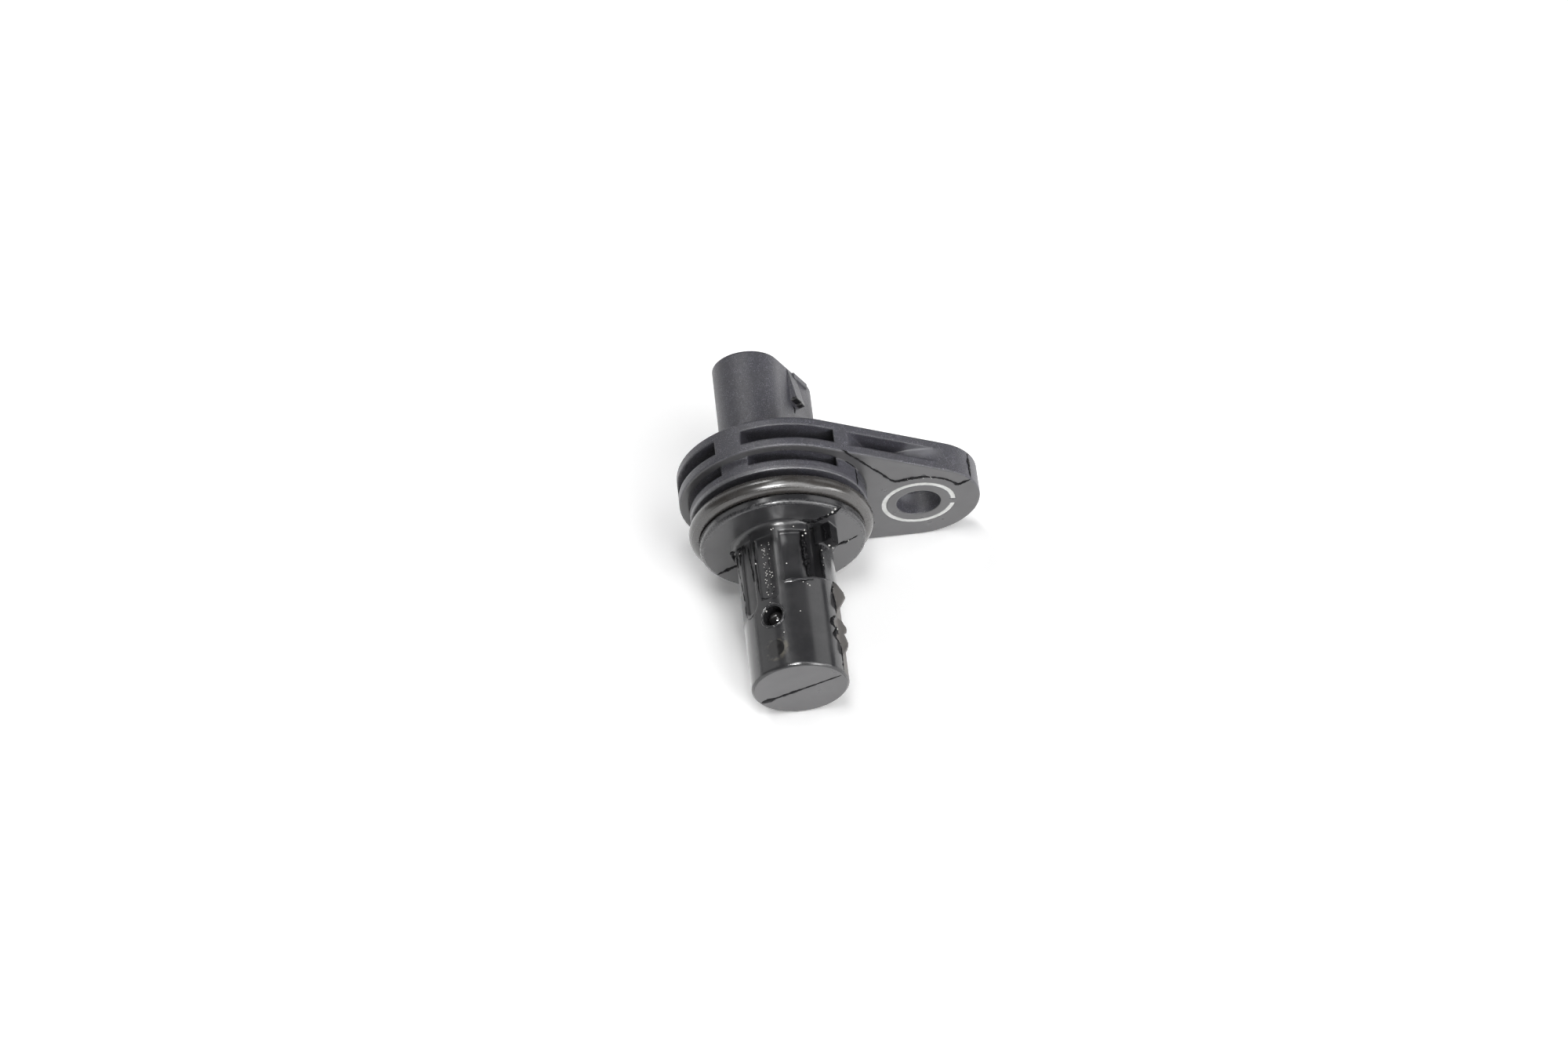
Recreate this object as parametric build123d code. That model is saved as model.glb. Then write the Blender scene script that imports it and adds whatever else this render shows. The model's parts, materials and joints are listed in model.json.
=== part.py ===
from build123d import *
import os
from math import asin, atan2, cos, degrees, hypot, radians, sin

# A camshaft position sensor, lying on a table as it comes to rest: on the edge of its tip,
# on its seal ring and on the edge of its bolt ear.
#
# The pieces are drawn upright on the nose axis first. There X points to the bolt ear,
# Z points along the nose to the tip, and the origin is the middle of the flange's mounting face.
# The tool that moulded the housing opened at an angle to the ear. Everything that it shaped is
# given as (across, opening, along): across its parting line, along its opening, along the nose.

# Flange and bolt ear
FLANGE_RADIUS = 14.4
FLANGE_THICK = 4.9
EAR_REACH = 21.4
EAR_RADIUS = 9.15
EAR_BOSS_RADIUS = 9.3
FLANGE_EDGE = 0.3

# Tool direction, degrees from the ear to the parting line
TOOL_TURN = 42.4

# Rim pockets, cut along the opening line between two plates
PLATE_THICK = 1.35
POCKET_CORE_RADIUS = 10.6
POCKET_RIB_HALF = 2.1
POCKET_END = 13.1
POCKET_FLOOR = 2.0
EAR_POCKET_START = 14.35
EAR_POCKET_LAP = 0.2

# Neck behind the seal, with its own windows
NECK_RADIUS = 13.0
NECK_WINDOW_HIGH = 1.5
NECK_HIGH = 3.0
NECK_CORE_RADIUS = 10.2
NECK_RIB_HALF = 2.2
NECK_WINDOW_END = 12.2
NECK_LOWER_START = 0.7
NECK_RELIEF = 0.1

# Seal ring and its groove
GROOVE_RADIUS = 10.85
GROOVE_END = 6.8
SEAL_RADIUS = 12.15
SEAL_WIRE_RADIUS = 1.35
SEAL_STATION = 5.2

# Sealing disc and nose
DISC_RADIUS = 12.12
DISC_END = 8.2
DISC_EDGE = 0.5
NOSE_RADIUS = 7.0
NOSE_ROOT = 0.6
TIP_STATION = 31.8
TIP_CHAMFER = 0.35

# Sunk and raised forms on the nose, angles in degrees from the parting line
PANEL_DEPTH = 0.8
PANEL_ANGLES = (33, 68)
PANEL_SPAN = (9.6, 17.8)
SLOT_DEPTH = 1.8
SLOT_ANGLES = (15, 33)
SLOT_SPAN = (8.2, 17.2)
CHANNEL_DEPTH = 0.25
CHANNEL_ANGLES = (77, 99)
CHANNEL_SPAN = (10.0, 20.0)
SIDE_PANEL_DEPTH = 0.3
SIDE_PANEL_ANGLE = 117
SIDE_PANEL_WIDTH = 2.6
SIDE_PANEL_SPAN = (9.6, 21.2)
GUSSET_REACH = 8.6
GUSSET_OPENING = (-0.4, 2.0)
GUSSET_END = 11.1
GUSSET_ROOT = 1.0

# Thin fins of flash on the nose: corners as (distance from the nose axis, station), from root to root
FLASH_FINS = [
    [(6.7, 16.2), (7.4, 17.1), (8.25, 18.8), (8.45, 19.8), (8.2, 20.1), (7.9, 20.5), (7.5, 20.95), (6.7, 21.6)],
    [
        (6.7, 22.4), (7.5, 23.3), (7.65, 23.8), (8.0, 24.5), (8.0, 25.0), (7.9, 25.35), (7.55, 25.45),
        (7.7, 25.9), (7.9, 26.6), (8.0, 27.1), (7.9, 27.6), (7.6, 28.2), (6.7, 29.0),
    ],
]
FLASH_THICK = 0.3
FLASH_DROP = -0.5

# Carrier pins that touch the nose wall
PIN_ANGLE = 87.5
PIN_RADIUS = 1.25
PIN_HOLE_RADIUS = 1.55
PIN_HOLE_STATION = 23.0
PIN_DOME_SUNK = 0.55
PIN_HOLE_FLOOR = 4.6
PIN_FOOT = 3.6
MARK_STATION = 28.35

# Plug shroud, its latch ramp and its rim pad
PLUG_OFFSET = -0.4
PLUG_END_RADIUS = 5.03
PLUG_HALF_SPAN = 4.65
PLUG_MOUTH = -20.2
PLUG_WALL = 1.2
SOCKET_FLOOR = -8.6
PLUG_ROOT = 0.5
RAMP_HIGH = 1.05
RAMP_LOCK = -14.5
RAMP_WIDE = 1.5
RAMP_NARROW = 0.9
RAMP_STEP = 0.25
RAMP_ROOT = 0.2
PAD_HIGH = 0.25
PAD_LONG = 0.9
PAD_OPENING = (-4.4, -0.4)

# Split sleeve round the bolt hole
HOLE_RADIUS = 3.3
BUSH_RADIUS = 5.48
BUSH_WALL = 0.7
BUSH_SPLIT = 1.3
BUSH_SPLIT_ANGLE = 10

# Terminals, from the socket to the carrier
BLADE_PITCH = 4.4
BLADE_TIP = -15.0
BLADE_WIDE = 1.5
BLADE_TAPER = 0.9
BLADE_POINT = 0.5
STRIP_THICK = 0.6
STRIP_PITCH = 2.0
STRIP_WIDE = 1.3
STRIP_END = 14.0
SPREAD_SPAN = (-6.0, -3.6)
STEP_SPAN = (-2.4, 1.8)

# Element carrier, a bar with one flat side for the strips
CARRIER_FLAT = -3.3
CARRIER_TOP = 3.9
CARRIER_HALF_WIDE = 4.2
CARRIER_CORNER = 0.8
CARRIER_SPAN = (2.6, 30.8)

# Sensing stack behind the tip
MAGNET_RADIUS = 2.7
MAGNET_LONG = 5.4
PLATE_RADIUS = 2.5
PLATE_HIGH = 0.8
CHIP_ACROSS = 4.0
CHIP_WIDE = 5.2
CHIP_THICK = 1.6
TIP_WALL = 1.0
LEAD_PITCH = 1.9
LEAD_WIDE = 0.5
LEAD_THICK = 0.3
LEAD_START = 11.0

# Capacitors that bridge two strips
CAPACITOR_LONG = 2.0
CAPACITOR_WIDE = 1.25
CAPACITOR_HIGH = 0.9
CAPACITOR_STATIONS = (4.2, 7.2)

TOOL = Rot(0, 0, TOOL_TURN)
UP = (Align.CENTER, Align.CENTER, Align.MIN)
LOW = (Align.MIN, Align.MIN, Align.MIN)
FAR = 40.0


def bar(radius, low, high):
    """A round bar on the nose axis between two stations."""
    return Pos(0, 0, low) * Cylinder(radius, high - low, align=UP)


def block(across, opening, along):
    """A box from three (lowest, highest) pairs in the tool's directions."""
    size = [pair[1] - pair[0] for pair in (across, opening, along)]
    return Pos(across[0], opening[0], along[0]) * Box(*size, align=LOW)


def sector(inner, outer, angles, along):
    """Part of a ring about the nose axis, between two angles from the parting line."""
    start, stop = angles
    corners = [(r * cos(radians(a)), r * sin(radians(a))) for a in angles for r in (inner, outer)]
    face = make_face([
        CenterArc((0, 0), inner, start, stop - start),
        Line(corners[0], corners[1]),
        CenterArc((0, 0), outer, start, stop - start),
        Line(corners[2], corners[3]),
    ])
    return Pos(0, 0, along[0]) * extrude(face, along[1] - along[0])


def ear_bar(radius, low, high):
    """A round bar on the bolt hole's axis."""
    return Pos(EAR_REACH, 0, 0) * bar(radius, low, high)


def flange_plate():
    """The flange and ear as one plate: two circles joined by their outer tangents."""
    circles = Circle(FLANGE_RADIUS) + Pos(EAR_REACH, 0) * Circle(EAR_RADIUS)
    outline = make_hull(circles.edges())
    plate = Pos(0, 0, -FLANGE_THICK) * extrude(outline, FLANGE_THICK)
    rims = plate.faces().sort_by(Axis.Z)[0].edges() + plate.faces().sort_by(Axis.Z)[-1].edges()
    return fillet(rims, FLANGE_EDGE)


def rim_pockets():
    """Slots that the tool's blades left in the rim, on both sides of the parting line."""
    gap = (PLATE_THICK - FLANGE_THICK, -PLATE_THICK)
    boss_across = EAR_REACH * cos(radians(TOOL_TURN))
    boss_opening = -EAR_REACH * sin(radians(TOOL_TURN))
    boss_start = boss_across - EAR_BOSS_RADIUS
    near, far = (POCKET_RIB_HALF, POCKET_END)
    cuts = block((near, far), (POCKET_FLOOR, FAR), gap)
    cuts += block((-far, -near), (POCKET_FLOOR, FAR), gap)
    cuts += block((-far, -near), (-FAR, -POCKET_FLOOR), gap)
    cuts += block((near, boss_start + EAR_POCKET_LAP), (-FAR, -POCKET_FLOOR), gap)
    cuts += block((boss_start, boss_across), (-FAR, boss_opening), gap)
    cuts += block((EAR_POCKET_START, boss_across + EAR_BOSS_RADIUS), (boss_opening, FAR), gap)
    cuts -= bar(POCKET_CORE_RADIUS, *gap)
    return TOOL * cuts - ear_bar(EAR_BOSS_RADIUS, *gap)


def neck_windows():
    """Windows between the flange and the plate that backs the seal.

    They sink a little into the flange, so that the mounting face starts outside the neck.
    """
    high = (-NECK_RELIEF, NECK_WINDOW_HIGH)
    near, far = (NECK_RIB_HALF, NECK_WINDOW_END)
    cuts = block((near, far), (NECK_LOWER_START, FAR), high)
    cuts += block((-far, -near), (NECK_LOWER_START, FAR), high)
    cuts += block((near, FAR), (-FAR, -NECK_LOWER_START), high)
    cuts += block((-far, -near), (-FAR, -NECK_LOWER_START), high)
    return TOOL * (cuts - bar(NECK_CORE_RADIUS, *high)) & bar(NECK_RADIUS, *high)


def turned_body():
    """Neck, seal groove, sealing disc and nose as one turned profile of (radius, station)."""
    root = NOSE_RADIUS + NOSE_ROOT
    edge = DISC_RADIUS - DISC_EDGE
    tip = TIP_STATION - TIP_CHAMFER
    groove = Polyline(
        (0, 0), (NECK_RADIUS, 0), (NECK_RADIUS, NECK_HIGH), (GROOVE_RADIUS, NECK_HIGH),
        (GROOVE_RADIUS, GROOVE_END), (DISC_RADIUS, GROOVE_END), (DISC_RADIUS, DISC_END - DISC_EDGE),
    )
    rounding = CenterArc((edge, DISC_END - DISC_EDGE), DISC_EDGE, 0, 90)
    face = Line((edge, DISC_END), (root, DISC_END))
    hollow = CenterArc((root, DISC_END + NOSE_ROOT), NOSE_ROOT, 180, 90)
    nose = Polyline(
        (NOSE_RADIUS, DISC_END + NOSE_ROOT), (NOSE_RADIUS, tip), (NOSE_RADIUS - TIP_CHAMFER, TIP_STATION),
        (0, TIP_STATION), (0, 0),
    )
    profile = Plane.XZ * make_face(groove.edges() + [rounding, face, hollow] + nose.edges())
    return revolve(profile, Axis.Z)


def nose_cuts():
    """The sunk panel, the deep slot beside it, the marking channel and the rounded side panel."""
    cuts = sector(NOSE_RADIUS - PANEL_DEPTH, GUSSET_REACH, PANEL_ANGLES, PANEL_SPAN)
    cuts += sector(NOSE_RADIUS - SLOT_DEPTH, GUSSET_REACH, SLOT_ANGLES, SLOT_SPAN)
    cuts += sector(NOSE_RADIUS - CHANNEL_DEPTH, GUSSET_REACH, CHANNEL_ANGLES, CHANNEL_SPAN)
    half = SIDE_PANEL_WIDTH / 2
    start, stop = SIDE_PANEL_SPAN
    straight = stop - half - start
    outline = Rectangle(SIDE_PANEL_WIDTH, straight) + Pos(0, straight / 2) * Circle(half)
    angle = radians(SIDE_PANEL_ANGLE)
    middle = (0, 0, start + straight / 2)
    side = Plane(middle, x_dir=(-sin(angle), cos(angle), 0), z_dir=(cos(angle), sin(angle), 0))
    panel = extrude(side * outline, GUSSET_REACH)
    return TOOL * (cuts + (panel - bar(NOSE_RADIUS - SIDE_PANEL_DEPTH, start, stop)))


def nose_gusset():
    """The small web between the disc and the nose beside the slot."""
    across = (NOSE_RADIUS - GUSSET_ROOT, GUSSET_REACH)
    return TOOL * block(across, GUSSET_OPENING, (DISC_END - DISC_EDGE, GUSSET_END))


def flash_fins():
    """Thin ragged fins left on the nose along the parting line."""
    fins = []
    for corners in FLASH_FINS:
        outline = make_face(Polyline(*corners, close=True))
        fins.append(Pos(0, FLASH_DROP + FLASH_THICK / 2, 0) * (Plane.XZ * extrude(outline, FLASH_THICK)))
    return TOOL * (fins[0] + fins[1])


def pin_place(station, out):
    """The place of a carrier pin: at a station, turned to face outwards, so far from the axis."""
    return TOOL * Pos(0, 0, station) * Rot(0, 0, PIN_ANGLE) * Rot(0, 90, 0) * Pos(0, 0, out)


def pin_bar(radius, start, stop, station):
    """A round bar square to the nose axis at the carrier pins' angle."""
    return pin_place(station, start) * Cylinder(radius, stop - start, align=UP)


def stadium(end_radius, low, high):
    """A bar with two flats and two round ends, long along the opening line."""
    outline = Rectangle(2 * end_radius, 2 * PLUG_HALF_SPAN)
    for side in (-1, 1):
        outline += Pos(0, side * PLUG_HALF_SPAN) * Circle(end_radius)
    return Pos(PLUG_OFFSET, 0, low) * extrude(outline, high - low)


def latch_ramp():
    """Two ramps side by side that rise from the mouth to the locking face, and the rim pad."""
    flat = PLUG_OFFSET + PLUG_END_RADIUS
    root = flat - RAMP_ROOT
    pieces = []
    edge = (RAMP_WIDE + RAMP_NARROW) / 2
    ramps = [(edge - RAMP_WIDE, RAMP_WIDE, RAMP_LOCK), (-edge, RAMP_NARROW, RAMP_LOCK + RAMP_STEP)]
    for opening, width, lock in ramps:
        side = make_face(Polyline(
            (root, PLUG_MOUTH), (flat, PLUG_MOUTH), (flat + RAMP_HIGH, lock), (root, lock),
            close=True,
        ))
        pieces.append(Pos(0, opening + width, 0) * (Plane.XZ * extrude(side, width)))
    pad = block((root, flat + PAD_HIGH), PAD_OPENING, (PLUG_MOUTH, PLUG_MOUTH + PAD_LONG))
    return pieces[0] + pieces[1] + pad


def plug_shroud():
    """The shroud for the plug, with its socket and latch ramp."""
    shroud = stadium(PLUG_END_RADIUS, PLUG_MOUTH, PLUG_ROOT - FLANGE_THICK) + latch_ramp()
    return TOOL * (shroud - stadium(PLUG_END_RADIUS - PLUG_WALL, PLUG_MOUTH, SOCKET_FLOOR))


def mounting_bush():
    """The split sleeve in the ear."""
    sleeve = bar(BUSH_RADIUS, -FLANGE_THICK, 0) - bar(BUSH_RADIUS - BUSH_WALL, -FLANGE_THICK, 0)
    cut = block((0, FAR), (-BUSH_SPLIT / 2, BUSH_SPLIT / 2), (-FLANGE_THICK, 0))
    split = Rot(0, 0, BUSH_SPLIT_ANGLE) * cut
    return Pos(EAR_REACH, 0, 0) * (sleeve - split)


def o_ring_seal():
    """The seal ring, a little flattened where it grips the groove."""
    ring = Pos(0, 0, SEAL_STATION) * Torus(SEAL_RADIUS, SEAL_WIRE_RADIUS)
    return ring - bar(GROOVE_RADIUS, NECK_HIGH, GROOVE_END)


def view_cut(face_view, side_view):
    """A bent strip from its outline seen along the across direction and seen along the opening."""
    front = Plane.YZ * extrude(make_face(Polyline(*face_view, close=True)), FAR, both=True)
    side = Plane.XZ * extrude(make_face(Polyline(*side_view, close=True)), FAR, both=True)
    return front & side


def terminal(place):
    """One terminal: a blade in the socket, a spread between the pitches, a step onto the carrier."""
    blade, run = place * BLADE_PITCH, place * STRIP_PITCH
    wide, narrow = BLADE_WIDE / 2, STRIP_WIDE / 2
    spread_start, spread_end = SPREAD_SPAN
    step_start, step_end = STEP_SPAN
    taper = BLADE_TIP + BLADE_TAPER
    face_view = [
        (blade - wide * BLADE_POINT, BLADE_TIP), (blade + wide * BLADE_POINT, BLADE_TIP),
        (blade + wide, taper), (blade + wide, spread_start), (run + narrow, spread_end),
        (run + narrow, STRIP_END), (run - narrow, STRIP_END), (run - narrow, spread_end),
        (blade - wide, spread_start), (blade - wide, taper),
    ]
    near, far = CARRIER_FLAT, CARRIER_FLAT - STRIP_THICK
    upper, lower = PLUG_OFFSET + STRIP_THICK / 2, PLUG_OFFSET - STRIP_THICK / 2
    side_view = [
        (upper, BLADE_TIP), (upper, step_start), (near, step_end), (near, STRIP_END),
        (far, STRIP_END), (far, step_end), (lower, step_start), (lower, BLADE_TIP),
    ]
    return TOOL * view_cut(face_view, side_view)


def chip_lead(place):
    """One chip lead: out of the chip's side, round a corner and back along the strip."""
    middle = place * LEAD_PITCH
    near = CARRIER_FLAT - STRIP_THICK
    far = near - LEAD_THICK
    edge = -CHIP_ACROSS / 2
    low = TIP_STATION - TIP_WALL - CHIP_THICK / 2 - LEAD_THICK / 2
    high = low + LEAD_THICK
    start, stop = middle - LEAD_WIDE / 2, middle + LEAD_WIDE / 2
    face_view = [(start, LEAD_START), (stop, LEAD_START), (stop, high), (start, high)]
    side_view = [(edge, low), (near, low), (near, LEAD_START), (far, LEAD_START), (far, high), (edge, high)]
    return TOOL * view_cut(face_view, side_view)


def capacitor(place, station):
    """A chip capacitor that bridges the ground strip and a neighbour."""
    top = CARRIER_FLAT - STRIP_THICK
    low, high = sorted((0, place * CAPACITOR_LONG))
    return TOOL * block((top - CAPACITOR_HIGH, top), (low, high), (station, station + CAPACITOR_WIDE))


def hall_chip():
    """The sensing element, flat behind the tip wall."""
    stop = TIP_STATION - TIP_WALL
    body = block(
        (-CHIP_ACROSS / 2, CHIP_ACROSS / 2), (-CHIP_WIDE / 2, CHIP_WIDE / 2), (stop - CHIP_THICK, stop)
    )
    return TOOL * body


def sensing_stack():
    """The pole plate and the magnet behind the chip."""
    plate_stop = TIP_STATION - TIP_WALL - CHIP_THICK
    magnet_stop = plate_stop - PLATE_HIGH
    plate = bar(PLATE_RADIUS, magnet_stop, plate_stop)
    magnet = bar(MAGNET_RADIUS, magnet_stop - MAGNET_LONG, magnet_stop)
    return TOOL * plate, TOOL * magnet


def element_carrier(held):
    """The pre-moulded bar round the sensing stack, with its two support pins."""
    across = CARRIER_TOP - CARRIER_FLAT
    outline = RectangleRounded(across, 2 * CARRIER_HALF_WIDE, CARRIER_CORNER)
    start, stop = CARRIER_SPAN
    body = Pos((CARRIER_TOP + CARRIER_FLAT) / 2, 0, start) * extrude(outline, stop - start)
    dome_middle = NOSE_RADIUS - PIN_DOME_SUNK - PIN_RADIUS
    sunk_pin = pin_bar(PIN_RADIUS, PIN_FOOT, dome_middle, PIN_HOLE_STATION)
    sunk_pin += pin_place(PIN_HOLE_STATION, dome_middle) * Sphere(PIN_RADIUS)
    flush_pin = pin_bar(PIN_RADIUS, PIN_FOOT, GUSSET_REACH, MARK_STATION) & bar(NOSE_RADIUS, start, stop)
    carrier = TOOL * body + sunk_pin + flush_pin
    for piece in held:
        carrier -= piece
    return carrier


def sensor_housing(inner):
    """The one-piece moulding, cleared for everything that it was moulded round."""
    housing = flange_plate() - rim_pockets() + turned_body()
    housing -= neck_windows()
    housing -= nose_cuts()
    housing += nose_gusset()
    housing += flash_fins()
    housing += plug_shroud()
    housing -= ear_bar(HOLE_RADIUS, -FLANGE_THICK, 0)
    housing -= pin_bar(PIN_HOLE_RADIUS, PIN_HOLE_FLOOR, GUSSET_REACH, PIN_HOLE_STATION)
    for piece in inner:
        housing -= piece
    return housing


def resting_place():
    """The turn from the upright drawing to the table, and the height of the flange's middle.

    The nose dips until the tip's edge and the seal ring are both on the table. Then the whole
    rolls about that line until the ear's edge is down too.
    """
    tip = TIP_STATION - TIP_CHAMFER
    rise = SEAL_RADIUS - NOSE_RADIUS
    run = tip - SEAL_STATION
    dip = atan2(rise, run) + asin(SEAL_WIRE_RADIUS / hypot(rise, run))
    height = SEAL_RADIUS * cos(dip) + SEAL_STATION * sin(dip) + SEAL_WIRE_RADIUS
    ear_round = EAR_RADIUS - FLANGE_EDGE
    roll = asin(((height - FLANGE_EDGE + FLANGE_EDGE * sin(dip)) / cos(dip) - ear_round) / EAR_REACH)
    return degrees(dip), degrees(roll), height


def build():
    """Every piece upright on the nose axis, by name."""
    plate, magnet = sensing_stack()
    pieces = {
        "mounting_bush": mounting_bush(),
        "terminal_supply": terminal(-1),
        "terminal_ground": terminal(0),
        "terminal_signal": terminal(1),
        "chip_lead_supply": chip_lead(-1),
        "chip_lead_ground": chip_lead(0),
        "chip_lead_signal": chip_lead(1),
        "capacitor_supply": capacitor(-1, CAPACITOR_STATIONS[0]),
        "capacitor_signal": capacitor(1, CAPACITOR_STATIONS[1]),
        "hall_chip": hall_chip(),
        "pole_plate": plate,
        "bias_magnet": magnet,
    }
    pieces["element_carrier"] = element_carrier(list(pieces.values()))
    pieces["sensor_housing"] = sensor_housing(list(pieces.values()))
    pieces["o_ring_seal"] = o_ring_seal()
    return pieces


def table_place(pieces):
    """Where the upright drawing lies on the table, centred over the origin."""
    dip, roll, height = resting_place()
    turn = Pos(0, 0, height) * Rot(90 + dip, 0, 0) * Rot(0, 0, -roll)
    boxes = [(turn * piece).bounding_box() for piece in pieces.values()]
    middle_x = (min(box.min.X for box in boxes) + max(box.max.X for box in boxes)) / 2
    middle_y = (min(box.min.Y for box in boxes) + max(box.max.Y for box in boxes)) / 2
    return Pos(-middle_x, -middle_y, 0) * turn


pieces = build()
place = table_place(pieces)
os.makedirs("parts", exist_ok=True)
for name, piece in pieces.items():
    export_step(place * piece, f"parts/{name}.step")
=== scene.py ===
"""The looks of a camshaft position sensor: its finishes, the flash and marks on it, and a small studio.

Sizes are millimetres in the moulding tool's directions unless a line says otherwise:
across the parting line, along the tool's opening, and along the nose from the mounting face.
"""
import json
from math import cos, degrees, pi, radians, sin

import bpy
import numpy as np
from mathutils import Matrix, Vector


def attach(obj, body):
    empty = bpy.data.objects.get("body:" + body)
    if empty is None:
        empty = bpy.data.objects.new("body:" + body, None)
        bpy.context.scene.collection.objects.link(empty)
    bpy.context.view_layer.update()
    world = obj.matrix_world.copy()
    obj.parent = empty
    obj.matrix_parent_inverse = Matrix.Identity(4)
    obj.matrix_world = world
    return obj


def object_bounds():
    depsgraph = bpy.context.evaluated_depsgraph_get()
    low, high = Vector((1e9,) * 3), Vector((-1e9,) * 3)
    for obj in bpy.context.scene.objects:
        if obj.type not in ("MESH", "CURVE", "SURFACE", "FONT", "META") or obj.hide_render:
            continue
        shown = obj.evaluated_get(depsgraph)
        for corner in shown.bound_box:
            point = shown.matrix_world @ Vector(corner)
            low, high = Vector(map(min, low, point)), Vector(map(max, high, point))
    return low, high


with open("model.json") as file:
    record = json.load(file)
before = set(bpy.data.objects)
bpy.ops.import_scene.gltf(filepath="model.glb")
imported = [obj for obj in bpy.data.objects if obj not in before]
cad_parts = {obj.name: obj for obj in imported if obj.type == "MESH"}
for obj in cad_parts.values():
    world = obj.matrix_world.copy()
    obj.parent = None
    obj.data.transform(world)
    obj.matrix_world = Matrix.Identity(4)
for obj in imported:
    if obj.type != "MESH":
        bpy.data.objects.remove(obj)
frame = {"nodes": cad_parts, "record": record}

bl_info = {
    "name": "Camshaft position sensor looks",
    "version": (1, 0, 0),
    "blender": (4, 5, 0),
    "location": "View3D > Sidebar > Sensor",
    "description": "Finishes, mould flash and studio for a camshaft position sensor",
    "category": "Object",
}

MM = 0.001
CAD_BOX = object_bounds()
BODY = "root"

# Main sizes of the moulding
TOOL_TURN = radians(42.4)
FLANGE_RADIUS = 14.4
FLANGE_THICK = 4.9
EAR_REACH = 21.4
EAR_RADIUS = 9.15
NECK_RADIUS = 13.0
NECK_HIGH = 3.0
GROOVE_END = 6.8
DISC_END = 8.2
DISC_EDGE = 0.5
NOSE_RADIUS = 7.0
TIP_RADIUS = 6.65
TIP_STATION = 31.8
CHANNEL_DEPTH = 0.25
SEAL_STATION = 5.2
SEAL_SEAMS = (-0.42, 0.95)
BUSH_MIDDLE_RADIUS = 5.13
POCKET_MIDDLE = -2.45
PLUG_FLAT = 4.63
RAMP_LOCK = -14.5
PIN_ANGLE = 87.5
PIN_HOLE_STATION = 23.0
MARK_STATION = 28.35
FORWARD, SIDEWAYS = np.array([0.0, 0.0, 1.0]), np.array([1.0, 0.0, 0.0])


def unit(vector):
    """The vector at length one."""
    return vector / np.linalg.norm(vector)


MOUNTS = {mount["name"]: mount for mount in frame["record"]["mounts"]}
SPIGOT = MOUNTS["seal_spigot"]
ALONG = unit(np.array(SPIGOT["axis"]))
CENTRE = np.array(SPIGOT["pos_m"]) - (GROOVE_END + DISC_END - DISC_EDGE) / 2 * MM * ALONG
EAR_OFFSET = np.array(MOUNTS["bolt_hole"]["pos_m"]) - CENTRE
EAR = unit(EAR_OFFSET - EAR_OFFSET @ ALONG * ALONG)
SIDE = np.cross(ALONG, EAR)
ACROSS = cos(TOOL_TURN) * EAR + sin(TOOL_TURN) * SIDE
OPENING = cos(TOOL_TURN) * SIDE - sin(TOOL_TURN) * EAR
TOOL_AXES = np.array([ACROSS, OPENING, ALONG])


def placed(points):
    """Tool millimetres as frame metres: the centre, plus each measure times its direction."""
    return CENTRE + MM * np.asarray(points, float) @ TOOL_AXES


def from_ear(ear, side, along):
    """A place given along the ear and square to it, turned into the tool's directions."""
    ear, side = np.asarray(ear, float), np.asarray(side, float)
    across = cos(TOOL_TURN) * ear + sin(TOOL_TURN) * side
    opening = cos(TOOL_TURN) * side - sin(TOOL_TURN) * ear
    return np.stack(np.broadcast_arrays(across, opening, along), -1)


def round_nose(angle, station, radius=NOSE_RADIUS):
    """A place round the nose axis: radius times cosine and sine of the angle, and the station."""
    turn = np.radians(angle)
    return np.stack(np.broadcast_arrays(radius * np.cos(turn), radius * np.sin(turn), station), -1)


def wander(places, size, spacing, seed):
    """A random line: seeded values within plus or minus size, a spacing apart, joined by straight runs."""
    draws = np.random.default_rng(seed)
    length = places[-1] + spacing
    knots = np.arange(0, length + spacing, spacing)
    return np.interp(places, knots, draws.uniform(-size, size, len(knots)))


def evenly(corners, step):
    """Points a step apart along straight runs between corners, and their distances along them."""
    corners = np.asarray(corners, float)
    runs = np.linalg.norm(np.diff(corners, axis=0), axis=1)
    marks = np.concatenate([[0], np.cumsum(runs)])
    places = np.linspace(0, marks[-1], max(8, int(marks[-1] / step)))
    return np.stack([np.interp(places, marks, corners[:, i]) for i in range(3)], 1), places


def closed_tube(rings):
    """A closed surface over rings of points: quads between neighbours, and a fan at each end."""
    count, sides = rings.shape[:2]
    row = np.arange(count - 1)[:, None] * sides
    here = np.arange(sides)
    following = (here + 1) % sides
    quads = np.stack([row + here, row + following, row + sides + following, row + sides + here], -1)
    first, last = count * sides, count * sides + 1
    far = (count - 1) * sides
    start = np.stack([np.full(sides, first), following, here], 1)
    stop = np.stack([np.full(sides, last), far + here, far + following], 1)
    points = np.concatenate([rings.reshape(-1, 3), [rings[0].mean(0), rings[-1].mean(0)]])
    return points, quads.reshape(-1, 4), np.concatenate([start, stop])


def outward(points, quads, triangles):
    """The same faces in the order that makes the enclosed volume positive."""
    split = np.concatenate([quads[:, [0, 1, 2]], quads[:, [0, 2, 3]], triangles])
    a, b, c = (points[split[:, i]] for i in range(3))
    if np.einsum("ij,ij->i", a, np.cross(b, c)).sum() < 0:
        return points, quads[:, ::-1], triangles[:, ::-1]
    return points, quads, triangles


# Spacing of the turns in a ridge's outline, in millimetres: coarse and fine ones in its width and in
# its height, and those of its sway
WIDTH_TURNS = (0.42, 0.15)
HEIGHT_TURNS = (0.35, 0.13)
SWAY_TURNS = 0.6


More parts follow.
